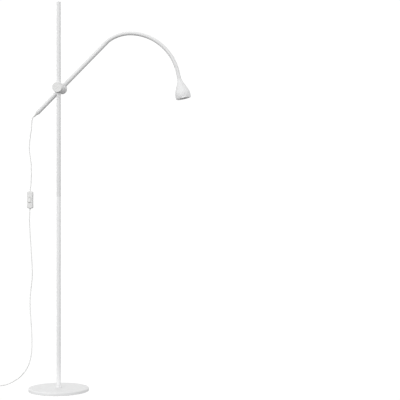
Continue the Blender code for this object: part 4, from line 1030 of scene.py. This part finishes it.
# ---------------------------------------------------------------- finishes of the parts inside
INSIDE = {
    IRON: ("base_weight",),
    STEEL: ("base_bolt", "base_washer", "pole_foot_plug", "pole_joint_stud", "knob_screw", "arm_screw"),
    PLASTIC: ("pole_bush",),
    GREY_PLASTIC: ("friction_ring", "clamp_pad", "thrust_washer"),
    BRASS: ("clamp_insert", "switch_contacts"),
    FLEX: ("arm_lead",),
    ALUMINIUM: ("led_board", "heat_sink"),
    LED_PHOSPHOR: ("led_module",),
}
for finish, nodes in INSIDE.items():
    for node in nodes:
        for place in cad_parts[node].material_slots:
            place.link = "OBJECT"
            place.material = finish


# ---------------------------------------------------------------- studio
def seen_or_lit(tree, seen_strength, lit_strength, socket):
    """Gives a socket one strength where the camera looks, and another for the light that reaches the lamp."""
    looked_at = tree.nodes.new("ShaderNodeLightPath").outputs["Is Camera Ray"]
    mix = add_node(tree, "ShaderNodeMix", {"Factor": looked_at, "A": lit_strength, "B": seen_strength},
                   data_type="FLOAT")
    tree.links.new(mix.outputs["Result"], socket)


def make_floor():
    """A pale, evenly bright floor with a sheen, which throws light up at low angles more than straight up."""
    mesh = bpy.data.meshes.new("studio_floor")
    half, low = 14.0, -0.0002
    mesh.from_pydata([(-half, -half, low), (half, -half, low), (half, half, low), (-half, half, low)], [],
                     [(0, 1, 2, 3)])
    made = bpy.data.materials.new("pale_floor")
    made.use_nodes = True
    made.cycles.emission_sampling = "NONE"
    tree = made.node_tree
    glow = tree.nodes.new("ShaderNodeEmission")
    grazing = tree.nodes.new("ShaderNodeLayerWeight").outputs["Facing"]
    lit = spread(tree, grazing, 0.55, 1.0, FLOOR_LIGHT, FLOOR_SHEEN)
    seen_or_lit(tree, SEEN_WHITE, lit, glow.inputs["Strength"])
    tree.links.new(glow.outputs["Emission"], tree.nodes["Material Output"].inputs["Surface"])
    linked_piece("studio_floor", mesh, made)


def make_surroundings():
    """A white room, lit softly all round, more so low down and from the front left."""
    world = bpy.data.worlds.new("studio")
    bpy.context.scene.world = world
    world.use_nodes = True
    tree = world.node_tree
    background = tree.nodes["Background"]
    background.inputs["Color"].default_value = (1, 1, 1, 1)
    direction = tree.nodes.new("ShaderNodeTexCoord").outputs["Generated"]
    parts = add_node(tree, "ShaderNodeSeparateXYZ", {"Vector": direction})
    toward = add_node(tree, "ShaderNodeVectorMath", {0: direction, 1: KEY_DIRECTION}, operation="DOT_PRODUCT")
    key = math_node(tree, "POWER", math_node(tree, "MAXIMUM", toward.outputs["Value"], 0.0), 4.0)
    key = math_node(tree, "MULTIPLY", key, KEY_LIGHT)
    around = spread(tree, parts.outputs["Z"], 0.0, 1.0, SIDE_LIGHT, TOP_LIGHT)
    above_floor = math_node(tree, "GREATER_THAN", parts.outputs["Z"], 0.0)
    strength = math_node(tree, "MULTIPLY", math_node(tree, "ADD", around, key), above_floor)
    seen_or_lit(tree, SEEN_WHITE, strength, background.inputs["Strength"])


SEEN_WHITE = 1.05  # what the camera sees of the floor and the room
FLOOR_SHEEN, FLOOR_LIGHT = 1.00, 0.18  # light thrown up at low angles, and straight up
SIDE_LIGHT, TOP_LIGHT = 1.16, 0.64
KEY_DIRECTION = Vector((-0.306, -0.921, 0.174)).normalized()
KEY_LIGHT = 1.42
make_floor()
make_surroundings()
bpy.context.scene.view_settings.view_transform = "Standard"
